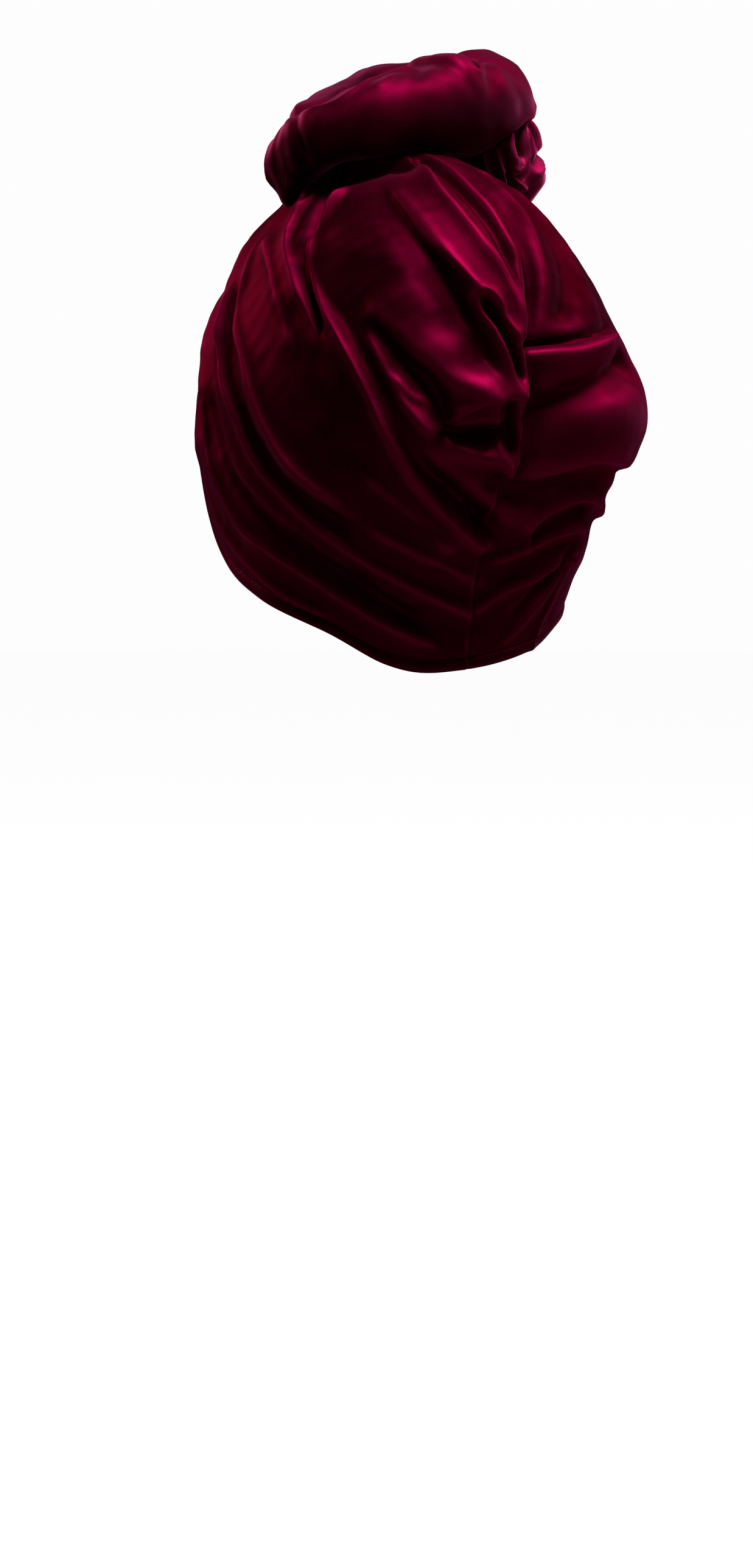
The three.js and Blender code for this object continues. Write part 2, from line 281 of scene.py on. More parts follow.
def add_folds(
    points: Array, normals: Array, folds: Sequence[Fold], place: Callable[[Array, Array], Array]
) -> tuple[Array, Array]:
    """Work out how far folds lift and tip each point of a surface.

    Args:
        points: the smooth surface's points, in mm.
        normals: its outward normals.
        folds: the folds to add.
        place: turns the two columns of a fold's path into points of the surface.

    Returns:
        The lift along the normal, and the sideways shift as vectors.
    """
    lift = np.zeros(len(points))
    shift = np.zeros_like(points)
    for fold in folds:
        path = np.array(fold.path, float)
        route = smooth_route(place(path[:, 0], path[:, 1]))
        reach = FOLD_REACH * max(fold.left, fold.right, fold.ends) + FOLD_MARGIN
        near = np.all((points > route.min(0) - reach) & (points < route.max(0) + reach), axis=1)
        index = np.flatnonzero(near)
        if not len(index):
            LOG.debug("%s reaches none of these points", fold.name)
            continue
        share, across, beyond, above, leftward = nearest_on_route(points[index], normals[index], route)
        section = fold.section(across, beyond, above)
        rise = fold.rise[0] + (fold.rise[1] - fold.rise[0]) * share
        lift[index] += rise * section
        shift[index] -= (fold.lean * section * np.abs(rise) / max(map(abs, fold.rise)))[:, None] * leftward
    return lift, shift


# ---------------------------------------------------------------------------
# Meshes
# ---------------------------------------------------------------------------
def make_object(name: str, points: Array, quads: Array) -> bpy.types.Object:
    """Make a smooth-shaded mesh object from arrays.

    Args:
        name: the object's name.
        points: vertices in mm.
        quads: faces of four corners; a triangle repeats its last corner.

    Returns:
        The new object, linked to the scene.
    """
    mesh = bpy.data.meshes.new(name)
    sizes = np.where(quads[:, 2] == quads[:, 3], 3, 4)
    corners = quads[np.arange(4)[None, :] < sizes[:, None]]
    mesh.vertices.add(len(points))
    mesh.vertices.foreach_set("co", (points * MM).astype(np.float32).ravel())
    mesh.loops.add(len(corners))
    mesh.loops.foreach_set("vertex_index", corners.astype(np.int32))
    mesh.polygons.add(len(quads))
    starts = np.concatenate(([0], np.cumsum(sizes)[:-1]))
    mesh.polygons.foreach_set("loop_start", starts.astype(np.int32))
    mesh.polygons.foreach_set("loop_total", sizes.astype(np.int32))
    mesh.polygons.foreach_set("use_smooth", np.ones(len(quads), bool))
    mesh.update(calc_edges=True)
    mesh.validate()
    piece = bpy.data.objects.new(name, mesh)
    bpy.context.scene.collection.objects.link(piece)
    return piece


def tube_quads(rows: int, columns: int, first: int = 0, closed_rows: bool = False) -> Array:
    """Faces of a grid whose columns close round.

    Args:
        rows: rings of vertices.
        columns: vertices in each ring.
        first: index of the first vertex.
        closed_rows: whether the last ring joins the first.

    Returns:
        The quads, as vertex indices.
    """
    i = np.arange(rows if closed_rows else rows - 1)[:, None]
    j = np.arange(columns)[None, :]
    below = (i + 1) % rows
    beside = (j + 1) % columns
    corners = (i * columns + j, below * columns + j, below * columns + beside, i * columns + beside)
    return np.stack([np.broadcast_to(c, (len(i), columns)) for c in corners], -1).reshape(-1, 4) + first


def fan(pole: int, ring: Array) -> Array:
    """Triangles from a pole to a ring, as quads that repeat a corner."""
    after = np.roll(ring, -1)
    return np.stack([np.full(len(ring), pole), ring, after, after], -1)


def capped_tube(rings: int, columns: int) -> Array:
    """Faces of a tube closed by a pole at each end.

    Args:
        rings: rings of vertices; the two poles come after the last one.
        columns: vertices in each ring.

    Returns:
        The quads, as vertex indices.
    """
    first_ring = np.arange(columns)
    last_ring = first_ring + (rings - 1) * columns
    first_fan = fan(rings * columns, first_ring)[:, [0, 2, 1, 1]]
    last_fan = fan(rings * columns + 1, last_ring)
    return np.concatenate((tube_quads(rings, columns)[:, ::-1], first_fan, last_fan))


def set_masks(piece: bpy.types.Object, crest: Array, tone_and_painted_light: Array) -> None:
    """Store the painted crest highlight and the tone with painted light and shade at each vertex, for a
    material to read.
    """
    for name, values in (("crest", crest), ("tone_and_painted_light", tone_and_painted_light)):
        layer = piece.data.attributes.new(name, "FLOAT", "POINT")
        layer.data.foreach_set("value", values.astype(np.float32))


def grid_normals(grid: Array) -> Array:
    """Unit normals of a grid whose second axis closes round, all on one side."""
    around = np.roll(grid, -1, axis=1) - np.roll(grid, 1, axis=1)
    down = np.gradient(grid, axis=0)
    return unit(np.cross(around, down))


def relax(grid: Array, rounds: int, strength: float) -> Array:
    """Even a grid out a little, as cloth does round a sharp fold.

    Args:
        grid: rows by columns of points, columns closing round.
        rounds: how many times.
        strength: share of the way each point goes to its neighbours' middle.

    Returns:
        The relaxed grid. Its first and last rows stay.
    """
    for _ in range(rounds):
        middle = (np.roll(grid, 1, 1) + np.roll(grid, -1, 1)) / 4
        middle[1:-1] += (grid[:-2] + grid[2:]) / 4
        grid = grid.copy()
        grid[1:-1] += strength * (middle[1:-1] - grid[1:-1])
    return grid


def relax_closed(grid: Array, strength: float) -> Array:
    """Even out, once, a grid that closes both ways; see relax."""
    middle = sum(np.roll(grid, step, axis) for step in (1, -1) for axis in (0, 1)) / 4
    return grid + strength * (middle - grid)


# ---------------------------------------------------------------------------
# Materials
# ---------------------------------------------------------------------------
class Nodes:
    """A small helper that adds and links shader nodes."""

    def __init__(self, tree: bpy.types.NodeTree) -> None:
        """Keep the tree that nodes are added to."""
        self.tree = tree

    def fill(self, node: bpy.types.Node, inputs: dict) -> None:
        """Set or link a node's inputs.

        Args:
            node: the node.
            inputs: values or output sockets, by input name or number.
        """
        for name, value in inputs.items():
            socket = node.inputs[name]
            if isinstance(value, bpy.types.NodeSocket):
                self.tree.links.new(value, socket)
            else:
                socket.default_value = value

    def add(self, kind: str, inputs: dict | None = None, **settings: object) -> bpy.types.Node:
        """Add a node.

        Args:
            kind: the node's type.
            inputs: values or output sockets, by input name or number.
            settings: attributes of the node.

        Returns:
            The node.
        """
        node = self.tree.nodes.new(kind)
        for name, value in settings.items():
            setattr(node, name, value)
        self.fill(node, inputs or {})
        return node

    def math(self, operation: str, a: object, b: object) -> bpy.types.NodeSocket:
        """A math node of two inputs, and its output."""
        return self.add("ShaderNodeMath", {0: a, 1: b}, operation=operation).outputs[0]

    def spread(self, value: object, to: Pair, span: Pair = (0, 1)) -> bpy.types.NodeSocket:
        """Map a range to another one, held at its ends."""
        ends = {"From Min": span[0], "From Max": span[1], "To Min": to[0], "To Max": to[1]}
        return self.add("ShaderNodeMapRange", {"Value": value, **ends}).outputs[0]

    def mix(self, factor: object, first: object, second: object) -> bpy.types.NodeSocket:
        """A mix of two colours, each a value or a socket, and its output."""
        ends = [c if isinstance(c, bpy.types.NodeSocket) else (*c, 1) for c in (first, second)]
        inputs = {"Factor": factor, 6: ends[0], 7: ends[1]}
        return self.add("ShaderNodeMix", inputs, data_type="RGBA").outputs[2]

    def bump(self, height: object, strength: float, distance: float) -> bpy.types.NodeSocket:
        """A bump of a height, and the normal it gives."""
        inputs = {"Height": height, "Strength": strength, "Distance": distance}
        return self.add("ShaderNodeBump", inputs).outputs["Normal"]


def new_material(name: str) -> tuple[bpy.types.Material, Nodes, bpy.types.Node]:
    """Make a material.

    Args:
        name: its name.

    Returns:
        The material, the helper of its nodes, and its main shader.
    """
    material = bpy.data.materials.new(name)
    material.use_nodes = True
    return material, Nodes(material.node_tree), material.node_tree.nodes["Principled BSDF"]


def new_group(name: str, inputs: dict[str, float], outputs: Sequence[str]) -> bpy.types.NodeTree:
    """Make a shader node group with number sockets.

    Args:
        name: the group's name.
        inputs: name and default of each input.
        outputs: name of each output.

    Returns:
        The empty group.
    """
    group = bpy.data.node_groups.new(name, "ShaderNodeTree")
    for label, value in inputs.items():
        socket = group.interface.new_socket(label, in_out="INPUT", socket_type="NodeSocketFloat")
        socket.default_value = value
    for label in outputs:
        group.interface.new_socket(label, in_out="OUTPUT", socket_type="NodeSocketFloat")
    return group


class NapGroup:
    """The short pile of velvet: speckle, brushed patches and a pebbled height."""

    NAME = "velvet_nap"
    FINE = {"Detail": 2.0, "Roughness": 0.6}
    COARSE = {"Detail": 4.0, "Roughness": 0.55}
    TUFT_SPAN = (0.32, 0.68)
    PATCH_SPAN = (0.3, 0.7)

    @classmethod
    def get(cls) -> bpy.types.NodeTree:
        """Return the group, built the first time."""
        return bpy.data.node_groups.get(cls.NAME) or cls.build()

    @classmethod
    def build(cls) -> bpy.types.NodeTree:
        """Build the group.

        Returns:
            A group from Tuft Size and Patch Size, in metres, to Tufts, Patches and Height.
        """
        sizes = {"Tuft Size": 0.0006, "Patch Size": 0.02}
        group = new_group(cls.NAME, sizes, ("Tufts", "Patches", "Height"))
        nodes = Nodes(group)
        size = nodes.add("NodeGroupInput").outputs
        result = nodes.add("NodeGroupOutput")
        place = nodes.add("ShaderNodeTexCoord").outputs["Object"]
        tuft_scale = nodes.math("DIVIDE", 1.0, size["Tuft Size"])
        patch_scale = nodes.math("DIVIDE", 1.0, size["Patch Size"])
        fine = nodes.add("ShaderNodeTexNoise", {"Vector": place, "Scale": tuft_scale, **cls.FINE})
        coarse = nodes.add("ShaderNodeTexNoise", {"Vector": place, "Scale": patch_scale, **cls.COARSE})
        tufts = nodes.spread(fine.outputs[0], (0, 1), cls.TUFT_SPAN)
        patches = nodes.spread(coarse.outputs[0], (0, 1), cls.PATCH_SPAN)
        nodes.fill(result, {"Tufts": tufts, "Patches": patches, "Height": tufts})
        return group


@dataclass(frozen=True)
class VelvetFinish:
    """Stretch velvet: a dark ground painted from its shaded to its lit colour, a pile that catches light,
    and painted highlights on the crests.
    """

    name: str
    # deep is the painted shade colour and lit the painted light colour; crest is the painted highlight
    # colour on crests
    deep: Color = (0.016, 0.0001, 0.0022)
    lit: Color = (0.080, 0.0003, 0.0110)
    crest: Color = (0.150, 0.0010, 0.0220)
    sheen: Color = (1.0, 0.12, 0.36)
    gloss: Color = (1.0, 0.12, 0.5)
    sheen_weight: float = 0.10
    sheen_roughness: float = 0.35
    roughness: float = 0.52
    gloss_share: float = 0.8
    tuft_size: float = 0.0004
    patch_size: float = 0.022
    patch_change: float = 0.12
    tuft_change: float = 0.32
    crest_speckle: float = 0.75
    rough_change: Pair = (-0.06, 0.08)
    bump: float = 0.07
    bump_height: float = 0.0003

    def material(self) -> bpy.types.Material:
        """Build the material.

        Returns:
            The velvet, which reads each mesh's painted crest highlight and its tone with painted light and
            shade.
        """
        material, nodes, shader = new_material(self.name)
        sizes = {"Tuft Size": self.tuft_size, "Patch Size": self.patch_size}
        nap = nodes.add("ShaderNodeGroup", sizes, node_tree=NapGroup.get()).outputs
        tone_and_painted_light = nodes.add("ShaderNodeAttribute", attribute_name="tone_and_painted_light").outputs["Fac"]
        crest = nodes.add("ShaderNodeAttribute", attribute_name="crest").outputs["Fac"]
        patched = nodes.spread(nap["Patches"], (-self.patch_change, self.patch_change))
        tufted = nodes.spread(nap["Tufts"], (-self.tuft_change, self.tuft_change))
        # tone from random patches and tufts, plus each mesh's painted light and shade
        pile = nodes.math("ADD", nodes.math("ADD", tone_and_painted_light, patched), tufted)
        ground = nodes.mix(nodes.spread(pile, (0, 1)), self.deep, self.lit)
        # painted highlight on the crests, speckled by the tufts
        painted_highlight = nodes.math("MULTIPLY", crest, nodes.spread(nap["Tufts"], (self.crest_speckle, 1)))
        rough_ends = tuple(self.roughness + change for change in self.rough_change)
        nodes.fill(shader, {
            "Base Color": nodes.mix(painted_highlight, ground, self.crest),
            "Roughness": nodes.spread(nap["Tufts"], rough_ends),
            "Normal": nodes.bump(nap["Height"], self.bump, self.bump_height),
            "Sheen Weight": self.sheen_weight,
            "Sheen Roughness": self.sheen_roughness,
            "Sheen Tint": (*self.sheen, 1),
            "Metallic": self.gloss_share,
            "Specular IOR Level": 0.0,
            "Specular Tint": (*self.gloss, 1),
        })
        return material


@dataclass(frozen=True)
class ThreadFinish:
    """Twisted sewing thread."""

    name: str
    color: Color = (0.03, 0.0008, 0.008)
    shades: Pair = (0.6, 1.5)
    twist_scale: float = 2600.0
    twist_bend: float = 1.5
    bump: float = 0.3
    bump_height: float = 0.0001

    def material(self) -> bpy.types.Material:
        """Build the material, with a fine twist across the thread."""
        material, nodes, shader = new_material(self.name)
        wave = {"Scale": self.twist_scale, "Distortion": self.twist_bend}
        twist = nodes.add("ShaderNodeTexWave", wave).outputs["Fac"]
        dark, light = (tuple(shade * c for c in self.color) for shade in self.shades)
        nodes.fill(shader, {
            "Base Color": nodes.mix(twist, dark, light),
            "Normal": nodes.bump(twist, self.bump, self.bump_height),
            "Roughness": 0.6,
            "Specular IOR Level": 0.1,
        })
        return material


@dataclass(frozen=True)
class PlainFinish:
    """A pale painted surface of the studio, with a faint mottle."""

    name: str
    color: Color
    glow: float
    mottle: float = 0.99

    def material(self) -> bpy.types.Material:
        """Build the material, which also glows where the camera sees it directly."""
        material, nodes, shader = new_material(self.name)
        noise = nodes.add("ShaderNodeTexNoise", {"Scale": 3.0, "Detail": 2.0}).outputs[0]
        seen = nodes.add("ShaderNodeLightPath").outputs["Is Camera Ray"]
        nodes.fill(shader, {
            "Base Color": nodes.mix(noise, self.color, tuple(self.mottle * c for c in self.color)),
            "Emission Strength": nodes.math("MULTIPLY", seen, self.glow),
            "Emission Color": (1, 1, 1, 1),
            "Roughness": 0.9,
        })
        return material


def dress(piece: bpy.types.Object, finish: bpy.types.Material, slot: str, *nodes: str) -> None:
    """Give a piece its finish and its place in the frame.

    Args:
        piece: the new piece.
        finish: its material.
        slot: not used.
        nodes: CAD nodes that it replaces.
    """
    piece.data.materials.append(finish)
    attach(piece, "root")
    if nodes:
        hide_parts(*nodes)


# ---------------------------------------------------------------------------
# The draped cap
# ---------------------------------------------------------------------------
# name, rise at start and end, left and right half width, then the path's places: (turn, height)
CAP_FOLDS = (
    soft(
        "knot_bed", (-3.5, -6.5), 8, 8,
        (112, -9), (84, -7), (66, -6), (50, -3.5), (36, -1), (24, -2), ends=8,
    ),
    # left side: the wrap that leaves the knot, and the long ridge below it
    pinched(
        "wrap_edge", (4.5, 2.4), 2.4, 7,
        (102, -12), (90, -20), (88, -26), (82, -36), (68, -50), (56, -69),
    ),
    pinched("wrap_inner", (2, 1.5), 1.6, 2, (98, -9), (89, -16), (87.5, -22), (85, -30), ends=3),
    soft(
        "wrap_valley", (-9.5, -4), 3, 5,
        (77, -9), (72, -20), (69, -29), (68.7, -38), (62.5, -48), (54, -66),
    ),
    pinched(
        "long_ridge", (4.5, 7.5), 2.8, 9,
        (63.7, -18), (66, -26), (66.5, -36), (62, -46), (54, -59), (46, -71), (40, -84), (35, -99),
        (30, -115), (23, -130), (16.5, -140), (9.5, -147), (2.5, -152),
    ),
    soft("long_hollow", (-1.5, -3), 9, 12, (64, -64), (55, -86), (46, -108), (36, -130), (20, -150)),
    soft("long_soft", (1.6, 2), 4, 4, (36, -132), (28, -141), (21, -149), (15, -155)),
    soft("deep_pocket", (-4, -11), 6, 3.5, (24.5, -125.5), (18, -133.5), (11, -141.5), (4, -148)),
    pinched(
        "middle_ridge", (2, 7), 4.5, 8,
        (36.4, -75), (33, -85), (30.4, -91.5), (27.7, -99), (21, -110), (14, -115.5), (9, -118),
        (4, -120),
    ),
    pinched("middle_arc", (2, 1.2), 2, 2, (29.3, -90), (26.6, -95), (23.8, -97), ends=3),
    soft(
        "middle_valley", (-2.5, -6.5), 4, 4,
        (33.7, -72.5), (28.8, -80.5), (23.8, -88), (20.6, -96), (19.5, -104),
    ),
    soft("belly", (2.5, 5), 12, 5, (34.8, -63.5), (28.2, -75.5), (22, -82), (16.5, -89), (10.5, -92)),
    soft(
        "upper_valley", (-2.5, -8), 4, 9,
        (34, -17), (27, -26), (22, -36), (18.4, -47), (14.6, -60), (10.6, -70), (9, -80),
    ),
    pinched(
        "upper_edge", (2, 4), 8, 2.6,
        (30, -17), (21.7, -32), (15.7, -41), (10.7, -51), (9.4, -55), lean=0.6,
    ),
    # the pleats gathered into the seam
    pinched(
        "pleat_left", (3, 5.5), 1.6, 5,
        (6.9, -57.5), (8, -56), (9.6, -56), (10.4, -59.5), (9.6, -63.5), (7.5, -68), (5.8, -74),
        (3.5, -83), (1.4, -93), lean=0.3, ends=5.5,
    ),
    pinched("pleat_right", (3, 4), 4, 1.6, (6.9, -57.5), (5.8, -60), (4.7, -65), (2.8, -71), ends=5),
    soft(
        "pleat_slot", (-6, -8), 1.5, 1.5,
        (8.4, -58.5), (6.8, -64), (5, -71), (3, -79), (1.5, -87), ends=2.5,
    ),
    pinched(
        "crown_end", (2.5, 5), 2, 6,
        (-1.3, -47), (-1.8, -53), (-1.6, -59), (-0.9, -66), (-0.5, -71), ends=6.5,
    ),
    pinched(
        "panel_edge", (3, 5.6), 9, 2,
        (19, -106), (16.7, -103), (12.4, -99.5), (8.5, -97), (3, -95.5), lean=1.8, ends=6.5,
    ),
    soft("pocket", (-6, -9), 2.5, 5, (18, -111), (12.4, -110.5), (7, -109.5)),
    pinched(
        "seam_lip", (3, 5.2), 1.5, 4,
        (2.4, -73), (1.2, -78), (0.2, -84), (-0.4, -91), (0.4, -99), lean=-0.6, ends=5.5,
    ),
    pinched("hang_left", (3.6, 6), 2.2, 3.5, (7.2, -99), (6.4, -108), (5, -116), (2.4, -123), ends=6),
    soft("hang_slot", (-7, -5), 1.5, 1.5, (4, -98), (2.6, -107), (1.2, -115), ends=2.5),
    pinched(
        "hang_right", (5, 7), 1.5, 3,
        (1.2, -102), (-0.6, -109), (-1.2, -116), (-1, -122), (-0.2, -127), ends=5.5,
    ),
    soft("hang_tip", (3, 3), 3.5, 3.5, (1.6, -122), (0.4, -126.5), ends=4.5),
    pinched(
        "low_lip", (3.2, 3.8), 1.5, 6,
        (-0.8, -132), (0, -139), (0.2, -146), (1, -153), lean=-0.6, ends=6,
    ),
    soft(
        "seam_pull", (-2, -8), 9, 9,
        (-1, -50), (-1, -78), (-1, -100), (-1, -118), (-1, -128), ends=12,
    ),
    soft("low_pull", (-5, -2), 10, 10, (0, -134), (0, -158), ends=8),
    pinched(
        "seam_ridge", (1.4, 0.9), 1.1, 2.2,
        (0.9, -158), (0.8, -170), (0.5, -182), (0.2, -204), ends=4,
    ),
    soft("seam_groove", (-1.5, -1.0), 1.0, 1.0, (-0.6, -158), (-0.5, -172), (-0.6, -204), ends=3),
    # the fan between the knot and the seam
    pinched(
        "fan_a", (3, 4), 3, 6,
        (20, 0.2), (15, -4), (13.5, -11), (11.8, -17), (6.4, -34), (3.1, -42), (0.9, -51), (0, -60),
    ),
    soft(
        "fan_gap", (-2.5, -3), 2.6, 2.6,
        (10, -0.5), (7, -5), (4.7, -12), (2.5, -21), (0.9, -30), (0.2, -41), (-0.6, -50),
    ),
    pinched(
        "fan_b", (2.5, 3), 4, 3.5,
        (3, 0.2), (1, -4), (0.6, -10), (-0.2, -16), (-1.3, -23), (-2, -33), (-2.9, -40), (-2, -48),
    ),
    soft(
        "fan_dark", (-2.5, -3.5), 4, 3,
        (-7, -8), (-7, -18), (-6.6, -30), (-6, -42), (-5, -54), (-3.6, -66),
    ),
    soft(
        "fan_c", (1.6, 2.0), 3.2, 3.4,
        (-24, -8), (-18.5, -16), (-17, -24), (-12, -36), (-10, -46), (-7.6, -56), (-5, -66),
    ),
    soft("right_gap", (-1.5, -2.5), 6, 5, (-27, -14), (-23, -26), (-22, -38), (-19, -50), (-14, -62)),
    soft("far_fan", (1.4, 1.4), 5, 5, (-36, -16), (-33, -28), (-30, -44), (-28, -58)),
    # right side: the loose puff and the creases that hold it
    soft("puff", (9, 15), 26, 26, (-28, -95), (-50, -96), (-72, -98), ends=26),
    soft("puff_low", (2, 6), 13, 11, (-24, -108), (-40, -110), (-60, -112), ends=12),
    pinched(
        "puff_crease", (-6, -3), 3.5, 2,
        (-2, -75), (-8, -74.4), (-14.4, -74), (-22, -72.4), (-30, -71), ends=5,
    ),
    pinched(
        "crease_lip", (1.5, 4.5), 1.8, 8,
        (-6, -78), (-15, -77.4), (-22.6, -75.4), (-30, -73.4), lean=-0.8, ends=6,
    ),
    soft("puff_dent", (-5, -9), 7, 8, (-4, -101), (-9, -98), (-16, -94), (-26, -89), (-42, -84)),
    soft(
        "puff_rim", (3, 4), 8, 2.5,
        (-7, -128), (-10, -125), (-16, -122), (-24, -119), (-34, -119), (-50, -122), lean=1.5,
    ),
    soft(
        "puff_floor", (-4, -3.6), 3, 8,
        (-7, -136), (-12, -131), (-18, -127), (-27, -125), (-36, -126),
    ),
    soft("side_fill", (2.5, 3.5), 7, 7, (-50, -131), (-72, -132), ends=8),
    pinched(
        "catch", (2.5, 4), 5, 2,
        (-17, -152), (-15, -147), (-18, -143), (-22, -139.5), (-31, -136.5), (-50, -139), (-62, -144),
        lean=1.0,
    ),
    soft("catch_gap", (-3, -4), 3, 4, (-20, -150), (-24, -147), (-32, -143.5), (-39, -141.5)),
    pinched(
        "thin_ridge", (1.8, 3.4), 1.8, 5,
        (-11, -160), (-20, -155.5), (-29, -152), (-39, -149.5), (-47, -149.5), lean=0.3,
    ),
    soft("neck_gap", (-1.5, -2.6), 4, 4, (-16, -165), (-30, -158), (-44, -154)),
    pinched(
        "low_ridge", (1.8, 3), 3, 4,
        (-4, -180), (-14, -174), (-26, -170), (-39, -165), (-48, -162),
    ),
    soft("nape_dark", (-2.4, -4), 3, 3, (-26, -182), (-33, -176), (-38, -171), (-43, -164)),
    pinched(
        "nape_fold", (2.2, 3.0), 2.4, 3,
        (-24, -190), (-31, -183), (-38, -176), (-42, -169), lean=0.3,
    ),
    pinched("nape_edge", (1.2, 1.2), 2, 3, (-38, -194), (-42, -186), (-45, -176), (-47, -166)),
    # left side: long sweeps from the temple to the nape
    pinched("temple_swell", (3, 2), 5, 7, (99, -36), (84, -47), (73, -60), (66, -72)),
    pinched(
        "temple_ridge", (2.4, 4), 4, 7,
        (108, -38), (104, -51), (100, -64), (86, -81), (79, -94), (71, -109), (63, -122), (54, -132),
    ),
    soft(
        "temple_gap", (-2, -3.4), 4, 4,
        (106, -58), (97, -80), (87, -98), (78, -114), (66, -130), (50, -146),
    ),
    pinched(
        "ear_ridge", (2.6, 4), 4, 5,
        (112, -58), (107, -72), (99, -88), (89, -103), (77, -122), (63, -138), (49, -154), (31, -168),
        (8, -180),
    ),
    soft(
        "ear_gap", (-2, -3.2), 4, 3,
        (106, -102), (94, -124), (82, -140), (62, -158), (44, -172), (26, -184),
    ),
    pinched(
        "nape_ridge", (2.4, 3.4), 2.2, 5,
        (112, -104), (108, -118), (99, -135), (88, -149), (73, -159), (57, -171), (39, -184),
        (23, -192),
    ),
    pinched("hem_ridge", (1.2, 1.8), 3, 3, (116, -138), (104, -153), (86, -168), (64, -181)),
    pinched("under_tip", (1.4, 2.0), 3, 5, (34, -152), (20, -160), (6, -167)),
    # front and right front, from the hem up to the knot
    soft(
        "brow_low", (2.4, 3), 5, 7,
        (132, -118), (146, -92), (166, -72), (192, -52), (214, -30), (232, -14), lean=0.6,
    ),
    soft("brow_gap", (-2.4, -2.6), 5, 5, (126, -106), (142, -78), (164, -57), (190, -38)),
    soft(
        "brow_middle", (2.6, 2.8), 5, 7,
        (118, -94), (134, -68), (158, -46), (184, -28), (210, -12), lean=0.6,
    ),
    soft("brow_high", (2.4, 2.4), 5, 7, (110, -70), (126, -46), (150, -26), (180, -12), lean=0.6),
    soft("front_right", (2.4, 3), 6, 5, (200, -84), (214, -62), (226, -38), (238, -16), lean=0.5),
    pinched(
        "cheek_ridge", (2.2, 2.8), 6, 5,
        (-132, -124), (-128, -92), (-122, -58), (-112, -26), lean=0.5,
    ),
    soft("cheek_gap", (-2.2, -2.4), 5, 5, (-122, -136), (-118, -98), (-112, -62), (-104, -34)),
    pinched(
        "side_ridge", (2.2, 2.8), 6, 5,
        (-112, -156), (-110, -112), (-106, -70), (-98, -32), lean=0.5,
    ),
    soft("side_gap", (-2, -2.4), 5, 5, (-98, -158), (-98, -120), (-96, -84), (-90, -44)),
    pinched("back_side", (1.6, 2.2), 6, 5, (-84, -64), (-80, -44), (-74, -24)),
)


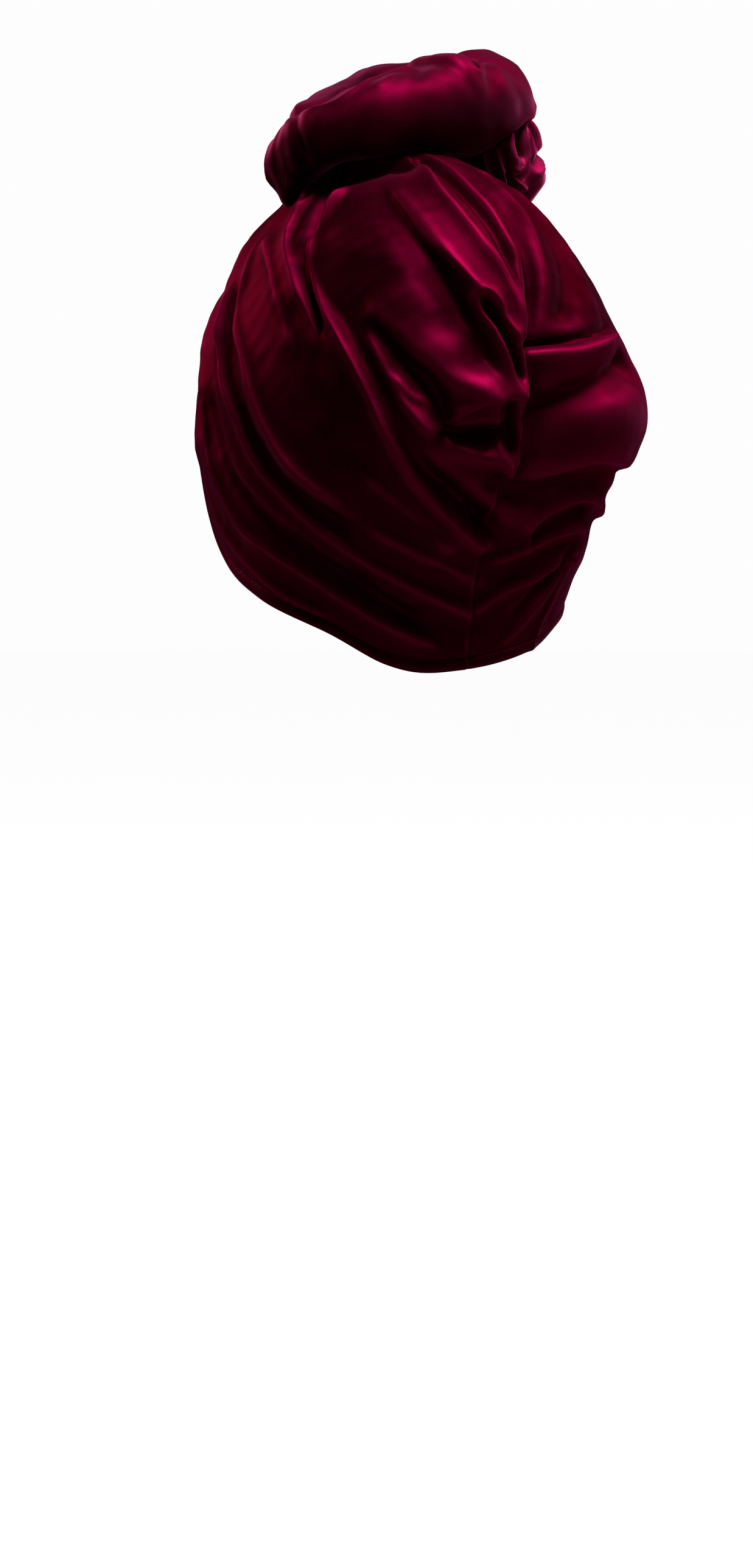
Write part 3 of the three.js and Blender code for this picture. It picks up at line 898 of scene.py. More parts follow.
@dataclass
class DrapedCap:
    """The cap: one cloth wall with its folds, open below and at the face."""

    finish: VelvetFinish = VelvetFinish("cap_velvet")
    cloth: float = 2.2
    crown_top: float = 2.2
    crown_disc: float = 0.5
    crown_ease: float = 0.25
    crown_fade: float = 4.0
    hem_tall: float = 6.5
    # how far the wall reaches down into the hem
    hem_lap: float = 1.2
    columns: int = 440
    rows: int = 190
    inner_rows: int = 24
    # the inner surface follows the lowest lift within this many rows and columns
    inner_reach: tuple[int, int] = (2, 4)
    # the inner surface is painted darker, as shade
    inner_painted_shade: float = 0.15
    fine_turns: Pair = (-45.0, 126.0)
    fine_columns: int = 292
    even_rounds: int = 60
    # folds rise less near the seam: the most they do on it, the turn at which they may do
    # 1 mm more, and how widely, in degrees, and how much they are evened out there
    seam_lift: float = 6.5
    seam_zone: float = 4.0
    seam_ease: float = 5.5
    seam_settle: float = 0.8
    # height, and reach to the front, back, left and right
    sections: tuple[tuple[float, ...], ...] = (
        (0.5, 28, 25, 21, 21),
        (-11, 51, 52, 34.5, 39.5),
        (-25, 67, 72, 47.5, 54),
        (-41, 79, 86, 58.5, 67),
        (-60, 88, 95, 67, 76.5),
        (-80, 94, 100, 73.5, 80.5),
        (-100, 96, 100, 76.5, 82),
        (-122, 94, 92, 76.5, 81),
        (-140, 90, 80, 74.5, 81),
        (-157, 84, 68, 70.5, 80.5),
        (-175, 77, 60, 65, 74.5),
        (-190, 71, 57, 61, 67.5),
        (-212, 66, 54, 57, 56.5),
    )
    # turn from the back seam, and height of the hem's lower edge
    hem_line: tuple[Pair, ...] = (
        (-35, -200), (0, -205), (35, -200), (62, -189), (90, -178), (110, -168), (123, -154),
        (136, -124), (150, -99), (165, -88), (180, -85), (195, -88),
    )
    # turn, width in degrees and depth of the dip beside the hem's seam
    hem_dip: tuple[float, float, float] = (26, 20, 4)
    ripples: tuple[Ripple, ...] = (Ripple(0.32, 26, 5), Ripple(0.12, 9, 6))
    # lift at which a sharp crest and a broad one get their full painted highlight, and how much
    sharp_crest_highlight: Pair = (0.45, 0.75)
    broad_crest_highlight: Pair = (1.6, 0.45)
    pile_drift: Ripple = Ripple(0.10, 60, 11)
    # how much raised cloth is painted lighter, as painted light, and the lift at which it is so in full
    raised_painted_light: Pair = (0.10, 4.0)
    # patches of painted light and shade: turn, height, size, and how much they lighten
    light_and_shade_patches: tuple[tuple[float, ...], ...] = (
        (50, -42, 26, -0.34), (42, -62, 22, -0.42), (29, -60, 13, -0.35), (22, -58, 16, -0.50),
        (48, -60, 14, -0.40), (39, -90, 14, -0.40), (90, -97, 16, -0.30), (1, -112, 13, 0.60),
        (5, -66, 8, 0.40), (7, -84, 12, 0.50), (78, -60, 30, -0.20), (14, -90, 15, 0.95),
        (34, -86, 12, -0.30), (-22, -105, 20, 0.75), (-22, -78, 10, 0.60), (-36, -98, 16, 0.5),
        (-6, -96, 12, -0.30), (-9, -44, 15, -0.75), (-14, -28, 14, -0.65), (-44, -44, 36, -0.8),
        (2, -30, 14, 0.10), (26, -12, 16, -0.15), (70, -14, 20, -0.35), (-24, -62, 16, -0.35),
    )
    tree: BVHTree | None = field(default=None, init=False)

    def __post_init__(self) -> None:
        """Turn the tables into curves."""
        heights, *reaches = zip(*self.sections)
        self.reach = [Column(heights, reach) for reach in reaches]
        self.hem_height = Column(*zip(*self.hem_line))

    def hem_at(self, turn: Array) -> Array:
        """Height of the hem's lower edge at each turn."""
        signed = signed_turn(turn)
        middle, width, deep = self.hem_dip
        return self.hem_height(np.abs(signed)) - deep * np.exp(-(((signed - middle) / width) ** 2))

    def point(self, turn: Array, z: Array) -> Array:
        """Points of the smooth form.

        Args:
            turn: degrees from the back seam towards the head's left.
            z: heights in mm.

        Returns:
            Points in mm.
        """
        turn, z = np.broadcast_arrays(np.asarray(turn, float), np.asarray(z, float))
        sine, cosine = np.sin(np.radians(turn)), np.cos(np.radians(turn))
        level = np.minimum(z, self.crown_disc)
        front, back, left, right = (curve(level) for curve in self.reach)
        deep = np.where(cosine > 0, back, front)
        wide = np.where(sine > 0, left, right)
        bowl = np.sqrt(np.clip((self.crown_top - z) / (self.crown_top - self.crown_disc), 0, 1))
        radius = np.where(z > self.crown_disc, bowl, 1) / np.hypot(cosine / deep, sine / wide)
        return np.stack((radius * sine, radius * cosine, z), -1)

    def turns(self) -> Array:
        """Turns of the columns, finer across the gathered back than across the front."""
        start, stop = self.fine_turns
        fine = np.linspace(start, stop, self.fine_columns, endpoint=False)
        plain = np.linspace(stop, start + 360, self.columns - self.fine_columns, endpoint=False)
        turns = np.concatenate((fine, plain))
        for _ in range(self.even_rounds):
            before, after = np.roll(turns, 1), np.roll(turns, -1)
            before[0] -= 360
            after[-1] += 360
            turns = (before + 2 * turns + after) / 4
        return turns

    def smooth_grid(self, turns: Array) -> Array:
        """Points of the smooth form, rows from the crown down to the hem by columns, in mm."""
        rows = np.arange(1, self.rows + 1) / self.rows
        low = self.hem_at(turns) + self.hem_tall - self.hem_lap
        drop = rows ** 3 * (1 + self.crown_ease ** 2) / (rows ** 2 + self.crown_ease ** 2)
        z = self.crown_top + (low[None, :] - self.crown_top) * drop[:, None]
        return self.point(np.broadcast_to(turns, z.shape), z)

    def drape(self, base: Array, normals: Array, turns: Array) -> tuple[Array, Array]:
        """Lay the folds over the smooth form.

        Args:
            base: the smooth form's rows by columns of points.
            normals: its normals.
            turns: turn of each column.

        Returns:
            The outer surface's points, and how far each is lifted.
        """
        flat, flat_normals = base.reshape(-1, 3), normals.reshape(-1, 3)
        lift, shift = add_folds(flat, flat_normals, CAP_FOLDS, self.point)
        signed = signed_turn(turns)
        bound = np.tile(self.seam_lift + (np.abs(signed) / self.seam_zone) ** 2, len(base))
        lift = np.where(lift > 0, bound * np.tanh(lift / bound), lift)
        fade = np.clip((self.crown_top - flat[:, 2]) / self.crown_fade, 0, 1)
        lift = (lift + sum(ripple.at(flat) for ripple in self.ripples)) * fade
        outer = (flat + lift[:, None] * flat_normals + shift * fade[:, None]).reshape(base.shape)
        outer = relax(outer, rounds=1, strength=0.25)
        near_seam = self.seam_settle * np.exp(-(signed / self.seam_ease) ** 2)
        outer += near_seam[None, :, None] * (relax(outer, rounds=3, strength=0.6) - outer)
        return outer, lift.reshape(base.shape[:2])

    def line(self, base: Array, normals: Array, outer: Array, lift: Array) -> Array:
        """Lay the plainer inner surface under the folds.

        Args:
            base: the smooth form's rows by columns of points.
            normals: its normals.
            outer: the outer surface's points.
            lift: how far each outer point is lifted.

        Returns:
            The inner surface's points, in fewer rows.
        """
        lowest = lift
        for axis, reach in enumerate(self.inner_reach):
            for move in range(-reach, reach + 1):
                lowest = np.minimum(lowest, np.roll(lift, move, axis))
        picked = np.unique(np.linspace(0, self.rows - 1, self.inner_rows).round().astype(int))
        inner = base[picked] + normals[picked] * (lowest[picked] - self.cloth)[..., None]
        inner[-1] = outer[-1] - normals[-1] * self.cloth
        return inner

    def build(self) -> bpy.types.Object:
        """Build the cap and dress it in its velvet."""
        piece = self.mesh()
        dress(piece, self.finish.material(), "velvet", "cap")
        return piece

    def mesh(self) -> bpy.types.Object:
        """Make the cap as one closed wall, and keep its outside for the pieces that rest on it."""
        turns = self.turns()
        base = self.smooth_grid(turns)
        normals = grid_normals(base)
        normals[0] = (0, 0, 1)
        outer, lift = self.drape(base, normals, turns)
        inner = self.line(base, normals, outer, lift)
        outside, inside = outer.reshape(-1, 3), inner[::-1].reshape(-1, 3)
        poles = np.array([[0, 0, self.crown_top], [0, 0, self.crown_top - self.cloth]])
        points = np.concatenate((outside, inside, poles))
        piece = make_object("cap_velvet", points, capped_tube(len(outer) + len(inner), self.columns))
        crest, tone_and_painted_light = self.masks(outer, lift)
        unseen = (0, len(points) - crest.size)
        # the inner surface and the poles painted dark, as shade
        tone_and_painted_light = np.pad(tone_and_painted_light.ravel(), unseen, constant_values=self.inner_painted_shade)
        set_masks(piece, np.pad(crest.ravel(), unseen), tone_and_painted_light)
        self.tree = BVHTree.FromPolygons(outside.tolist(), tube_quads(self.rows, self.columns).tolist())
        return piece

    def masks(self, outer: Array, lift: Array) -> tuple[Array, Array]:
        """Work out the painted crest highlights, and the tone with painted light and shade.

        Args:
            outer: rows by columns of points.
            lift: how far each point is lifted.

        Returns:
            The painted crest highlight and the tone with painted light and shade, both 0 to 1.
        """
        stacked = np.repeat(lift[..., None], 3, -1)
        close, middle, wide = (relax(stacked, rounds, strength=1.0)[..., 0] for rounds in (12, 6, 40))
        crest = np.zeros_like(lift)
        # painted highlights where the cloth stands above its neighbours
        for height, (full, crest_highlight) in ((lift - close, self.sharp_crest_highlight), (middle - wide, self.broad_crest_highlight)):
            crest += crest_highlight * np.clip(height / full, 0, 1)
        crest = np.clip(crest, 0, 1)
        flat = outer.reshape(-1, 3)
        # a random drift in tone, and raised cloth painted lighter as painted light
        change, full = self.raised_painted_light
        tone_and_painted_light = 0.5 + self.pile_drift.at(flat) + change * np.clip(lift.ravel() / full, -1, 1)
        # patches of painted light and shade
        for turn, z, size, change in self.light_and_shade_patches:
            away = np.linalg.norm(flat - self.point(turn, z), axis=1)
            tone_and_painted_light += change * np.exp(-(away / size) ** 2)
        tone_and_painted_light = np.clip(tone_and_painted_light, 0, 1).reshape(lift.shape)
        shown = np.clip(0.4 + 1.2 * tone_and_painted_light, 0, 1)  # painted crest highlights show less under painted shade
        return crest * shown, tone_and_painted_light

    def rest_on(self, points: Array, gap: float, near: float = 12.0, above: float = 90.0) -> Array:
        """Press points that would reach into the cap up onto it.

        Args:
            points: points in mm.
            gap: clearance in mm.
            near: height above which points are clear of the cap.
            above: a height over the whole cap.

        Returns:
            The points, none of them lower than the cap's outside plus the gap.
        """
        out = points.copy()
        for i in np.flatnonzero(points[:, 2] < near):
            x, y, z = points[i]
            hit = self.tree.ray_cast(Vector((x, y, above)), Vector((0, 0, -1)))[0]
            if hit is not None:
                out[i, 2] = max(z, hit.z + gap)
        return out


# ---------------------------------------------------------------------------
# The turned hem
# ---------------------------------------------------------------------------
@dataclass
class TurnedHem:
    """The cap's lower edge, turned under and stitched."""

    cap: DrapedCap
    finish: VelvetFinish = VelvetFinish("hem_velvet", sheen_weight=0.4)
    thread: ThreadFinish = ThreadFinish("hem_thread")
    wave: Ripple = Ripple(0.25, 30, 21)
    # share of the hem's height, and how proud of the middle of the wall, outside first
    profile: tuple[Pair, ...] = (
        (1.04, 0.75), (0.98, 1.15), (0.90, 1.38), (0.83, 1.36), (0.785, 1.02), (0.76, 0.98), (0.73, 1.06),
        (0.66, 1.5), (0.5, 1.68), (0.3, 1.66), (0.12, 1.38), (0.02, 0.8), (-0.01, 0.0), (0.03, -0.8),
        (0.14, -1.3), (0.35, -1.5), (0.6, -1.5), (0.85, -1.35), (1.0, -0.9), (1.06, 0.0),
    )
    # the painted highlight along the turned lower edge: its share of the height, its width and how strong it
    # is
    painted_highlight: tuple[float, float, float] = (0.06, 0.12, 0.5)
    tone_and_painted_light: float = 0.42
    stitch_up: float = 5.0
    stitch_proud: float = 1.12
    stitch_long: float = 2.3
    stitch_pitch: float = 3.2
    stitch_radius: float = 0.22
    stitch_spots: int = 2400
    # share of the stitch's length, and of its radius
    stitch_shape: tuple[Pair, ...] = (
        (0.0, 0.25), (0.08, 0.8), (0.3, 1.0), (0.7, 1.0), (0.92, 0.8), (1.0, 0.25),
    )

    def ring(self, turns: Array) -> tuple[Array, Array]:
        """The hem's own line at half its wall, and the way out of it.

        Args:
            turns: turn of each station.

        Returns:
            The middle line's points and unit outward vectors, both level.
        """
        low = self.cap.hem_at(turns)
        spots = self.cap.point(turns, low + self.cap.hem_tall / 2)
        ahead = np.roll(spots, -1, 0) - np.roll(spots, 1, 0)
        outward = unit(np.stack((-ahead[:, 1], ahead[:, 0], 0 * low), -1))
        outward *= np.sign(np.sum(outward * spots, axis=1))[:, None]
        lift, _ = add_folds(spots, outward, CAP_FOLDS, self.cap.point)
        wave = lift + self.wave.at(spots)
        return spots + outward * (wave - self.cap.cloth / 2)[:, None], outward

    def build(self) -> tuple[bpy.types.Object, bpy.types.Object]:
        """Build the hem and its stitches, and dress them in velvet and thread."""
        edge = self.mesh()
        dress(edge, self.finish.material(), "hem_velvet", "hem")
        seam = self.stitches()
        dress(seam, self.thread.material(), "thread")
        return edge, seam

    def mesh(self) -> bpy.types.Object:
        """Make the hem's closed ring."""
        turns = self.cap.turns()
        spots, outward = self.ring(turns)
        rows = []
        for share, proud in self.profile:
            row = spots + outward * proud
            row[:, 2] = self.cap.hem_at(turns) + share * self.cap.hem_tall
            rows.append(row)
        points = np.concatenate(rows)
        piece = make_object("hem_velvet", points, tube_quads(len(rows), len(turns), closed_rows=True))
        # painted highlight along the hem's turned lower edge
        place, width, most = self.painted_highlight
        shares = np.repeat([share for share, _ in self.profile], len(turns))
        crest = most * np.clip(1 - np.abs(shares - place) / width, 0, 1)
        set_masks(piece, crest, np.full(len(points), self.tone_and_painted_light))
        return piece

    def stitches(self) -> bpy.types.Object:
        """Make the hem's row of stitches as one mesh of short six-sided threads."""
        turns = np.linspace(0, 360, self.stitch_spots, endpoint=False)
        spots, outward = self.ring(turns)
        spots = spots + outward * self.stitch_proud
        spots[:, 2] = self.cap.hem_at(turns) + self.stitch_up
        steps = np.linalg.norm(np.roll(spots, -1, 0) - spots, axis=1)
        along = np.concatenate(([0], np.cumsum(steps)))
        count = int(along[-1] / self.stitch_pitch)
        pitch = along[-1] / count
        shape = np.array(self.stitch_shape)
        sizes = self.stitch_radius * shape[:, 1]
        around = np.linspace(0, 2 * math.pi, 6, endpoint=False)[None, :, None]
        points, tubes, ends = [], [], []
        for k in range(count):
            places = k * pitch + self.stitch_long * shape[:, 0]
            index = np.searchsorted(along[1:], places) % len(turns)
            out = outward[index]
            ahead = unit(np.roll(spots, -2, 0)[index] - spots[index])
            up = unit(np.cross(out, ahead))
            middle = spots[index] + ahead * (places - along[index])[:, None]
            way = np.cos(around) * out[:, None] + np.sin(around) * up[:, None]
            points.append(middle[:, None] + sizes[:, None, None] * way)
            first = k * 6 * len(shape)
            tubes.append(tube_quads(len(shape), 6, first))
            near_end = np.arange(first, first + 6)[::-1]
            far_end = near_end[::-1] + 6 * (len(shape) - 1)
            for a, b, c, d, e, f in (near_end, far_end):
                ends += [(a, b, c, f), (c, d, e, f)]
        points = np.concatenate(points).reshape(-1, 3)
        return make_object("hem_stitches", points, np.concatenate((*tubes, ends)))


# ---------------------------------------------------------------------------
# The knot
# ---------------------------------------------------------------------------
# paths here are (turn about the knot, angle round the roll: 0 outside, 90 crest)
ROLL_FOLDS = (
    soft("notch", (-4, -8), 1.4, 1.4, (-27, 74), (-24.5, 63), (-22.5, 54), (-21.5, 47), ends=1.4),
    pinched("notch_left", (1.2, 1.8), 1.8, 5, (-23, 74), (-21, 63), (-20, 54), (-20.5, 44), ends=3),
    pinched("notch_right", (1.2, 1.8), 4, 1.6, (-31, 74), (-28, 63), (-25.5, 54), (-23, 44), ends=3),
    soft("lobe_gap", (-1.2, -1.4), 3.5, 3.5, (-37, 84), (-33, 66), (-29, 48), (-26, 30)),
    soft("lobe_swell", (0.5, 1.5), 9, 9, (-50, 24), (-53, 6), (-54, -10)),
    soft(
        "lobe_crease", (-2.6, -2.4), 1.6, 2.4,
        (-70, -12), (-57, -19), (-48, -23), (-43, -32), (-40, -42), ends=4,
    ),
    pinched("lobe_lip", (1.2, 1.4), 3, 2, (-66, -2), (-55, -9), (-46, -14), (-40, -24), ends=4),
    soft("step", (2.2, 2.2), 2.5, 8, (-14, 52), (-12, 80), (-11, 108), ends=8),
    soft("step_gap", (-1.2, -2), 3.4, 3.4, (2, 56), (-1, 70), (-2, 86), (-2, 104)),
    pinched(
        "crest_line", (1.0, 1.4), 3, 2.0,
        (44, 50), (35.5, 44), (30, 47), (24, 58), (17, 70), (10, 73), (4, 73), ends=4,
    ),
    soft("crest_bed", (-1.2, -1.4), 4, 4, (42, 78), (32, 80), (22, 88), (10, 96)),
    soft("crest_dimple", (1.2, 1.2), 3, 3, (17, 47), (13, 58), ends=4),
    soft("near_swell", (1.5, 2), 12, 14, (-30, 14), (-6, 12), (20, 10), (40, 6)),
    soft("left_crease", (-2, -2.8), 3, 3, (70, 84), (60, 52), (55, 20), (51.5, -10), (50.5, -36)),
    soft("left_facet", (-2, -2), 9, 9, (78, 40), (74, 6), (72, -20)),
    pinched("left_corner", (1.5, 3.4), 3.4, 3.4, (116, 24), (116, 6), (114, -8), ends=6),
    soft("left_tuck", (-2.5, -3), 7, 7, (84, -34), (104, -28), (128, -28)),
    soft("far_crease", (-2.2, -2.2), 2.5, 2.5, (140, 40), (165, 26), (190, 22)),
    pinched("far_ridge", (1.8, 2.2), 4, 6, (150, 66), (168, 52), (200, 46), (230, 40)),
    soft("far_tuck", (-2, -4), 3, 3, (228, 62), (232, 42), (236, 10), (238, -24), lean=1.0),
    pinched("far_lap", (1.5, 3), 4, 6, (238, 60), (243, 40), (247, 10), (248, -24), lean=1.4),
    pinched("front_fan_a", (1.5, 2), 3, 4, (196, -10), (212, 0), (226, 14)),
    pinched("front_fan_b", (1.5, 2), 3, 4, (196, 20), (212, 26), (228, 40)),
    pinched("turn_fan_a", (1.6, 1.6), 3, 5, (252, 4), (262, 16), (270, 34)),
)


@dataclass
class CoiledRoll:
    """The padded roll, coiled on the crown round a closed crease."""

    cap: DrapedCap
    finish: VelvetFinish = VelvetFinish("knot_velvet", sheen_weight=0.45)
    middle: Pair = (-0.5, -19.0)
    half_span: float = 27.0
    press_gap: float = 0.9
    squareness: float = 2.35
    stations: int = 330
    sides: int = 150
    ripples: tuple[Ripple, ...] = (Ripple(0.7, 30, 31), Ripple(0.22, 11, 32))
    pile_drift: Ripple = Ripple(0.12, 45, 33)
    # how far inward, as a cosine, folds have died out, and the span over which they do
    crease: Pair = (0.85, 0.5)
    # lift at which a crest gets its full painted highlight, and how much
    crest_highlight: Pair = (3.2, 0.7)
    # the roll is painted dark below and lighter towards its top, as painted light from above
    underside_painted_shade: float = 0.06
    top_painted_light: float = 0.62
    # turn and width in degrees of the end painted lighter as a painted highlight, and how much it lightens
    painted_end_highlight: tuple[float, float, float] = (300, 32, 0.3)
    # turn about the knot, reach outward, height of the crest and of the underside
    turns: tuple[tuple[float, ...], ...] = (
        (0, 46, 37, -1), (25, 42, 29, -2), (45, 37, 22, -6), (70, 27, 18.5, -14), (90, 22, 15, -20),
        (112, 22, 11, -21), (135, 25, 17, -21), (150, 31, 22.5, -17), (180, 43, 33.5, -14),
        (192, 45, 38.5, -12), (205, 46, 41, -11), (235, 45, 42.5, -5), (270, 44, 45.5, 3),
        (292, 43.5, 42, 5), (308, 44, 37.5, 4), (325, 45.5, 40.5, 1), (342, 46, 40.5, -1), (352, 46, 38, -1),
    )
    tree: BVHTree | None = field(default=None, init=False)

    def __post_init__(self) -> None:
        """Turn the table into curves that come round."""
        rows = [(turn + lap, *rest) for lap in (-360, 0, 360) for turn, *rest in self.turns]
        turns, *columns = zip(*rows)
        self.reach, self.crest, self.under = (Column(turns, column) for column in columns)

    def point(self, turn: Array, angle: Array) -> Array:
        """Points of the smooth roll.

        Args:
            turn: degrees about the knot, 0 at the back and growing to the left.
            angle: degrees round the roll, 0 outside and 90 at the crest.

        Returns:
            Points in mm.
        """
        turn, angle = np.broadcast_arrays(np.asarray(turn, float), np.asarray(angle, float))
        outer, crest, under = self.reach(turn), self.crest(turn), self.under(turn)
        power = 2 / self.squareness
        cosine, sine = np.cos(np.radians(angle)), np.sin(np.radians(angle))
        across = np.sign(cosine) * np.abs(cosine) ** power
        upward = np.sign(sine) * np.abs(sine) ** power
        out = (outer + self.press_gap) / 2 + across * (outer - self.press_gap) / 2
        x = self.middle[0] + (self.half_span + out) * np.sin(np.radians(turn))
        y = self.middle[1] + out * np.cos(np.radians(turn))
        return np.stack((x, y, (crest + under) / 2 + upward * (crest - under) / 2), -1)

    def build(self) -> bpy.types.Object:
        """Build the roll and dress it in its velvet."""
        piece = self.mesh()
        dress(piece, self.finish.material(), "knot_velvet", "knot_roll")
        return piece

    def mesh(self) -> bpy.types.Object:
        """Make the roll, laid on the crown, and keep its skin for the tail to tuck under."""
        turn = np.arange(self.stations)[:, None] * 360 / self.stations
        angle = np.arange(self.sides)[None, :] * 360 / self.sides
        base = self.point(turn, angle)
        shape = base.shape
        ahead = np.roll(base, -1, 0) - np.roll(base, 1, 0)
        around = np.roll(base, -1, 1) - np.roll(base, 1, 1)
        normals = unit(np.cross(around, ahead))
        outwards = np.sign(np.sum(normals * (base - base.mean(1, keepdims=True)), axis=-1))
        normals = (normals * outwards[..., None]).reshape(-1, 3)
        flat = base.reshape(-1, 3)
        lift, shift = add_folds(flat, normals, ROLL_FOLDS, self.point)
        lift += sum(ripple.at(flat) for ripple in self.ripples)
        angles = np.radians(np.broadcast_to(angle, shape[:2])).ravel()
        start, span = self.crease
        keep = np.clip((np.cos(angles) + start) / span, 0, 1)
        points = flat + (lift * keep)[:, None] * normals + shift * keep[:, None]
        points = self.cap.rest_on(points, self.press_gap)
        points = relax_closed(points.reshape(shape), strength=0.4).reshape(-1, 3)
        quads = tube_quads(self.stations, self.sides, closed_rows=True)[:, ::-1]
        self.tree = BVHTree.FromPolygons(points.tolist(), quads.tolist())
        piece = make_object("knot_roll_velvet", points, quads)
        up = np.clip(np.sin(angles), 0, 1)
        # painted highlight on the roll's right end
        middle, width, change = self.painted_end_highlight
        end_highlight = np.repeat(change * np.exp(-(((turn - middle) / width) ** 2)), self.sides)
        # painted shade below and painted light on top, a random drift in tone, and the painted end highlight
        tone_and_painted_light = self.underside_painted_shade + self.top_painted_light * up ** 2 + self.pile_drift.at(flat) + end_highlight
        # painted highlight on the roll's crests
        full, crest_highlight = self.crest_highlight
        set_masks(piece, crest_highlight * np.clip(lift / full, 0, 1), np.clip(tone_and_painted_light, 0, 1))
        return piece

    def tuck_under(self, points: Array, below: float = -70.0) -> Array:
        """Press points that would reach into the roll down below its underside.

        Args:
            points: points in mm.
            below: a height under the whole roll.

        Returns:
            The points, none of them higher than the roll's underside less the gap.
        """
        out = points.copy()
        for i, (x, y, z) in enumerate(points):
            hit = self.tree.ray_cast(Vector((x, y, below)), Vector((0, 0, 1)))[0]
            if hit is not None:
                out[i, 2] = min(z, hit.z - self.press_gap)
        return out


# paths here are (turn about the tail's middle, tilt from its top)
TAIL_FOLDS = (
    pinched(
        "loop_outer", (3.2, 3.2), 2.0, 2.4,
        (-18, 50), (-15, 62), (-13, 74), (-13, 84), (-10, 90), (-3, 93), (5, 93), ends=2.5,
    ),
    soft("loop_inner", (2.6, 3.2), 3.0, 3.0, (7, 66), (9, 76), (8, 84), (4, 89), ends=3),
    soft("loop_slot", (-4, -4.6), 1.2, 1.2, (-2, 54), (-2, 66), (-1.5, 78), (-3, 85), ends=1.6),
    soft(
        "loop_rim", (-4.5, -4), 1.4, 1.4,
        (-23, 50), (-24, 64), (-24, 78), (-20, 90), (-12, 97), (-2, 98), (7, 97), ends=2,
    ),
    soft("outer_bulge", (2.4, 2.0), 4, 3.6, (-46, 40), (-54, 56), (-58, 68), (-58, 76), ends=3),
    soft("outer_dent", (-1.4, -1.4), 1.5, 1.5, (-38, 50), (-42, 64), (-42, 76), ends=2),
    soft("waist", (-2.4, -1.4), 1.7, 1.7, (-86, 82), (-66, 82), (-46, 86), (-30, 90), ends=1.6),
    soft("waist_lip", (1.2, 1.2), 1.6, 1.6, (-84, 89), (-64, 89), (-44, 92), (-32, 95), ends=2),
    soft("lower_bulge", (1.6, 2.4), 5, 5, (-34, 99), (-52, 99), (-74, 98), ends=4),
    pinched("pucker_b", (3.4, 3), 2, 2, (26, 82), (22, 89), (15, 98), ends=2.5),
    soft("gap_b", (-3.8, -4.4), 1.5, 1.5, (17, 82), (13, 90), (9, 97), (5, 105), ends=2),
    pinched("pucker_c", (3.6, 3), 1.8, 2.0, (4, 99), (-4, 105), (-13, 111), ends=2.5),
    soft("gap_c", (-3, -2.6), 1.6, 1.6, (1, 110), (-8, 117), (-20, 121), ends=3),
    pinched("pucker_d", (3, 3), 1.8, 2, (39, 82), (37, 89), (32, 98), ends=2.5),
    soft("gap_d", (-4, -4), 2, 2, (31, 80), (29, 89), (24, 99), ends=3),
)


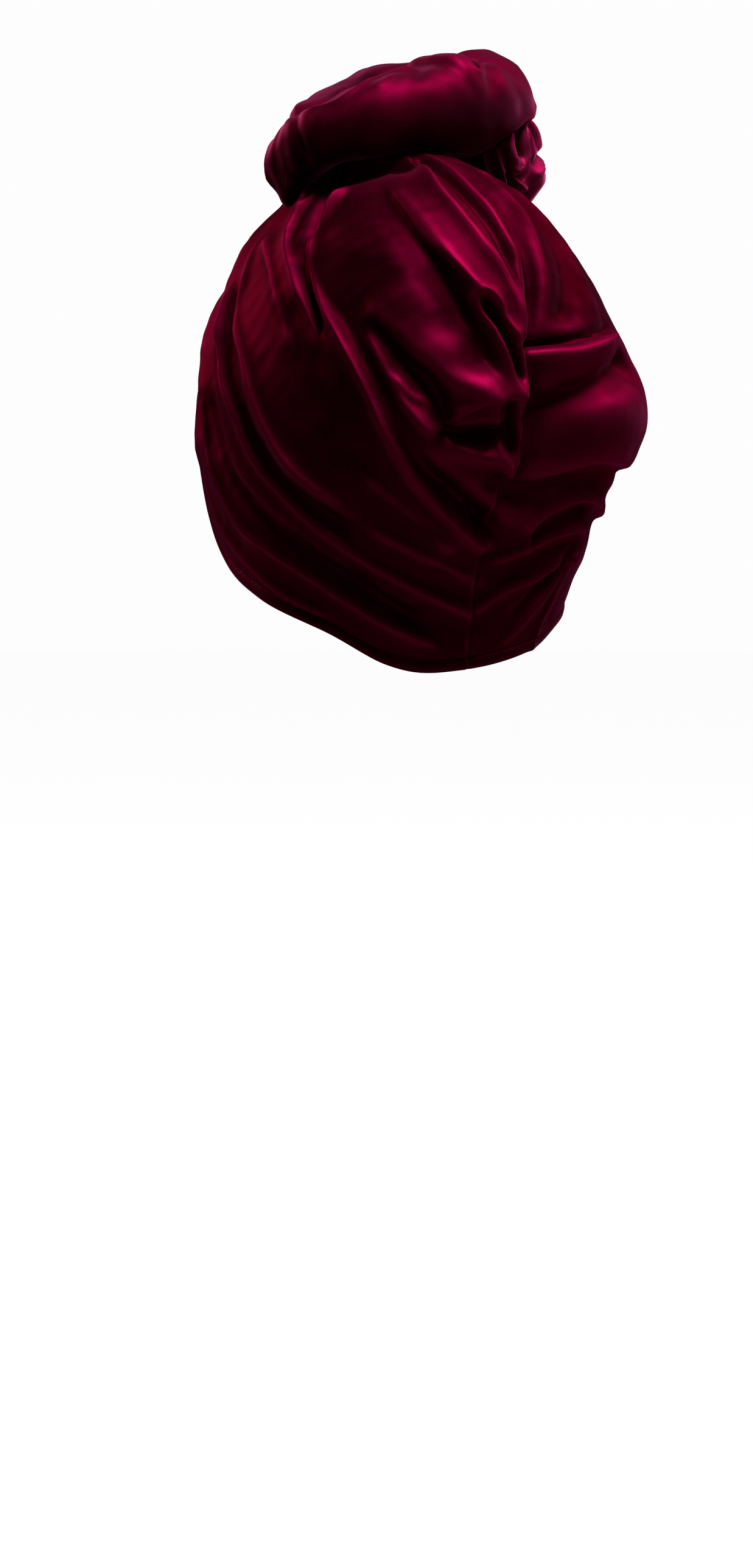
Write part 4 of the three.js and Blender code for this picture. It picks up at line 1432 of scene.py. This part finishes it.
@dataclass
class RuchedTail:
    """The gathered tail of the roll, tucked in under its right end."""

    cap: DrapedCap
    roll: CoiledRoll
    # the tail's velvet is a lighter copy of the knot's, painted light for the rim light on the tail
    finish: VelvetFinish = VelvetFinish(
        "tail_velvet", lit=(0.16, 0.003, 0.030), crest=(0.26, 0.010, 0.055), sheen_weight=1.0
    )
    place: tuple[float, float, float] = (-49.5, -9.0, -2.0)
    across: float = 20.4
    along: float = 20.0
    tall: float = 20.0
    boxiness: float = 0.66
    columns: int = 300
    rows: int = 150
    gathers: int = 15
    gather_seed: int = 41
    gather_tilts: tuple[float, ...] = (35, 58, 80, 102, 124)
    gather_depth: Pair = (2.4, 4.0)
    gather_bend: float = 14.0
    gather_wobble: float = 5.0
    pucker_beside: float = 8.5
    bare_turns: Pair = (-115.0, 40.0)
    ripple: Ripple = Ripple(0.5, 14, 43)
    pile_drift: Ripple = Ripple(0.1, 20, 42)
    # sine of the tilt from which folds die out towards the top and the foot
    pole_fade: float = 0.5
    # lift at which a crest gets its full painted highlight, and how much
    crest_highlight: Pair = (2.4, 0.8)
    # the tail is painted light all over
    tone_and_painted_light: float = 0.9

    def point(self, turn: Array, tilt: Array) -> Array:
        """Points of the smooth puff.

        Args:
            turn: degrees about its middle, 0 at the back and growing to the left.
            tilt: degrees down from its top.

        Returns:
            Points in mm.
        """
        turn, tilt = np.broadcast_arrays(np.radians(turn), np.radians(tilt))
        rise = np.sign(np.cos(tilt)) * np.abs(np.cos(tilt)) ** self.boxiness
        out = np.clip(np.sin(tilt), 0, 1) ** self.boxiness
        x = self.place[0] + self.across * out * np.sin(turn)
        y = self.place[1] + self.along * out * np.cos(turn)
        return np.stack((x, y, self.place[2] + self.tall * rise), -1)

    def side_gathers(self) -> list[Fold]:
        """Pleats that run down the sides turned away from the back."""
        rng = np.random.default_rng(self.gather_seed)
        start, stop = self.bare_turns[1], self.bare_turns[0] + 360
        folds = []
        for k in range(self.gathers):
            turn = start + (stop - start) * (k + rng.uniform(0.2, 0.8)) / self.gathers
            bend = rng.uniform(-self.gather_bend, self.gather_bend)
            wobble = rng.uniform(-self.gather_wobble, self.gather_wobble)
            deep = rng.uniform(*self.gather_depth)
            path = [
                (turn + bend * (tilt - 80) / 60 + wobble * math.sin(tilt / 17), tilt)
                for tilt in self.gather_tilts
            ]
            beside = [(t + self.pucker_beside, tilt) for t, tilt in path]
            folds.append(soft(f"gather_{k}", (-deep, -deep), 1.5, 1.5, *path, ends=4))
            folds.append(pinched(f"pucker_{k}", (1.8, 1.8), 2.4, 3.0, *beside, lean=0.5, ends=4))
        return folds

    def build(self) -> bpy.types.Object:
        """Build the tail and dress it in its velvet."""
        piece = self.mesh()
        dress(piece, self.finish.material(), "knot_velvet", "ruched_tail")
        return piece

    def mesh(self) -> bpy.types.Object:
        """Make the tail as a closed puff with gathers."""
        turn = np.arange(self.columns)[None, :] * 360 / self.columns
        tilt = np.arange(1, self.rows)[:, None] * 180 / self.rows
        base = self.point(turn, tilt)
        normals = grid_normals(base).reshape(-1, 3)
        flat = base.reshape(-1, 3)
        lift, shift = add_folds(flat, normals, (*TAIL_FOLDS, *self.side_gathers()), self.point)
        lift += self.ripple.at(flat)
        tilts = np.radians(np.broadcast_to(tilt, base.shape[:2])).ravel()
        fade = np.clip(np.sin(tilts) / self.pole_fade, 0, 1)
        points = flat + (lift * fade)[:, None] * normals + shift * fade[:, None]
        points = np.vstack((points, self.point(0, 0), self.point(0, 180)))
        points = self.cap.rest_on(self.roll.tuck_under(points), self.roll.press_gap)
        piece = make_object("ruched_tail_velvet", points, capped_tube(self.rows - 1, self.columns))
        # painted highlight on the tail's crests
        full, crest_highlight = self.crest_highlight
        crest = crest_highlight * np.clip(lift / full, 0, 1)
        tone_and_painted_light = np.clip(self.tone_and_painted_light + self.pile_drift.at(points), 0, 1)
        set_masks(piece, np.append(crest, (0, 0)), tone_and_painted_light)
        return piece


# ---------------------------------------------------------------------------
# Studio
# ---------------------------------------------------------------------------
@dataclass(frozen=True)
class Softbox:
    """An area light, placed by its turn about the turban and its height angle."""

    name: str
    turn: float
    climb: float
    distance: float
    size: float
    power: float


@dataclass
class Studio:
    """The floor, the lights and the camera, in metres and degrees."""

    floor_below_hem: float = 0.345
    floor_radius: float = 6.0
    floor_color: Color = (0.2, 0.2, 0.2)
    floor_glow: float = 0.955
    backdrop: float = 0.985
    ambient: float = 0.06
    lit_height: float = -0.07
    camera_turn: float = 30.0
    camera_distance: float = 2.4
    camera_height: float = -0.060
    aim_side: float = -0.0089
    aim_height: float = -0.25575
    frame_width: float = 0.30925
    softboxes: tuple[Softbox, ...] = (
        Softbox("key", -14, 73, 1.7, 0.8, 45),
        Softbox("rim", -86, 44, 1.6, 0.6, 13),
        Softbox("fill", 158, 24, 1.8, 0.8, 10),
    )

    def build(self) -> None:
        """Set up the whole studio."""
        self.build_floor()
        for softbox in self.softboxes:
            self.build_light(softbox)
        self.build_world()
        self.build_camera()

    def build_floor(self) -> None:
        """Lay the plain pale floor."""
        spot = (0, 0, CAD_BOUNDS[0][2] - self.floor_below_hem)
        bpy.ops.mesh.primitive_circle_add(
            vertices=128, radius=self.floor_radius, fill_type="NGON", location=spot
        )
        floor = bpy.context.object
        floor.name = "studio_floor"
        floor.data.materials.append(PlainFinish("floor_paint", self.floor_color, self.floor_glow).material())

    def build_light(self, box: Softbox) -> None:
        """Hang one softbox and aim it at the turban.

        Args:
            box: its place, size and power.
        """
        turn, climb = math.radians(box.turn), math.radians(box.climb)
        way = Vector((math.sin(turn) * math.cos(climb), math.cos(turn) * math.cos(climb), math.sin(climb)))
        data = bpy.data.lights.new(box.name, "AREA")
        data.size = box.size
        data.energy = box.power
        light = bpy.data.objects.new(box.name, data)
        light.location = way * box.distance + Vector((0, 0, self.lit_height))
        light.rotation_euler = way.to_track_quat("Z", "Y").to_euler()
        bpy.context.scene.collection.objects.link(light)

    def build_world(self) -> None:
        """Light the room faintly and show it white behind the turban."""
        world = bpy.data.worlds.new("studio_world")
        world.use_nodes = True
        nodes = Nodes(world.node_tree)
        seen = nodes.add("ShaderNodeLightPath").outputs["Is Camera Ray"]
        strength = nodes.spread(seen, (self.ambient, self.backdrop))
        ground = world.node_tree.nodes["Background"]
        nodes.fill(ground, {"Color": (1, 1, 1, 1), "Strength": strength})
        bpy.context.scene.world = world
        bpy.context.scene.view_settings.view_transform = "Standard"

    def build_camera(self) -> None:
        """Place the camera and frame the turban high in a tall picture."""
        turn = math.radians(self.camera_turn)
        toward = Vector((math.sin(turn), math.cos(turn), 0))
        rightward = Vector((-toward.y, toward.x, 0))
        spot = toward * self.camera_distance + Vector((0, 0, self.camera_height))
        aim = rightward * self.aim_side + Vector((0, 0, self.aim_height))
        data = bpy.data.cameras.new("camera")
        data.sensor_fit = "HORIZONTAL"
        data.sensor_width = 36.0
        data.lens = data.sensor_width * (aim - spot).length / self.frame_width
        camera = bpy.data.objects.new("camera", data)
        camera.location = spot
        camera.rotation_euler = (aim - spot).to_track_quat("-Z", "Y").to_euler()
        bpy.context.scene.collection.objects.link(camera)
        bpy.context.scene.camera = camera


# ---------------------------------------------------------------------------
# The turban
# ---------------------------------------------------------------------------
def main() -> None:
    """Build the turban and its studio."""
    logging.basicConfig(level=logging.INFO, format="%(name)s %(message)s")
    Studio().build()
    cap = DrapedCap()
    cloth = cap.build()
    edge, seam = TurnedHem(cap).build()
    roll = CoiledRoll(cap)
    coil = roll.build()
    tail = RuchedTail(cap, roll).build()
    for piece in (cloth, edge, seam, coil, tail):
        LOG.info("%s: %d faces", piece.name, len(piece.data.polygons))


if __name__ == "__main__":
    main()
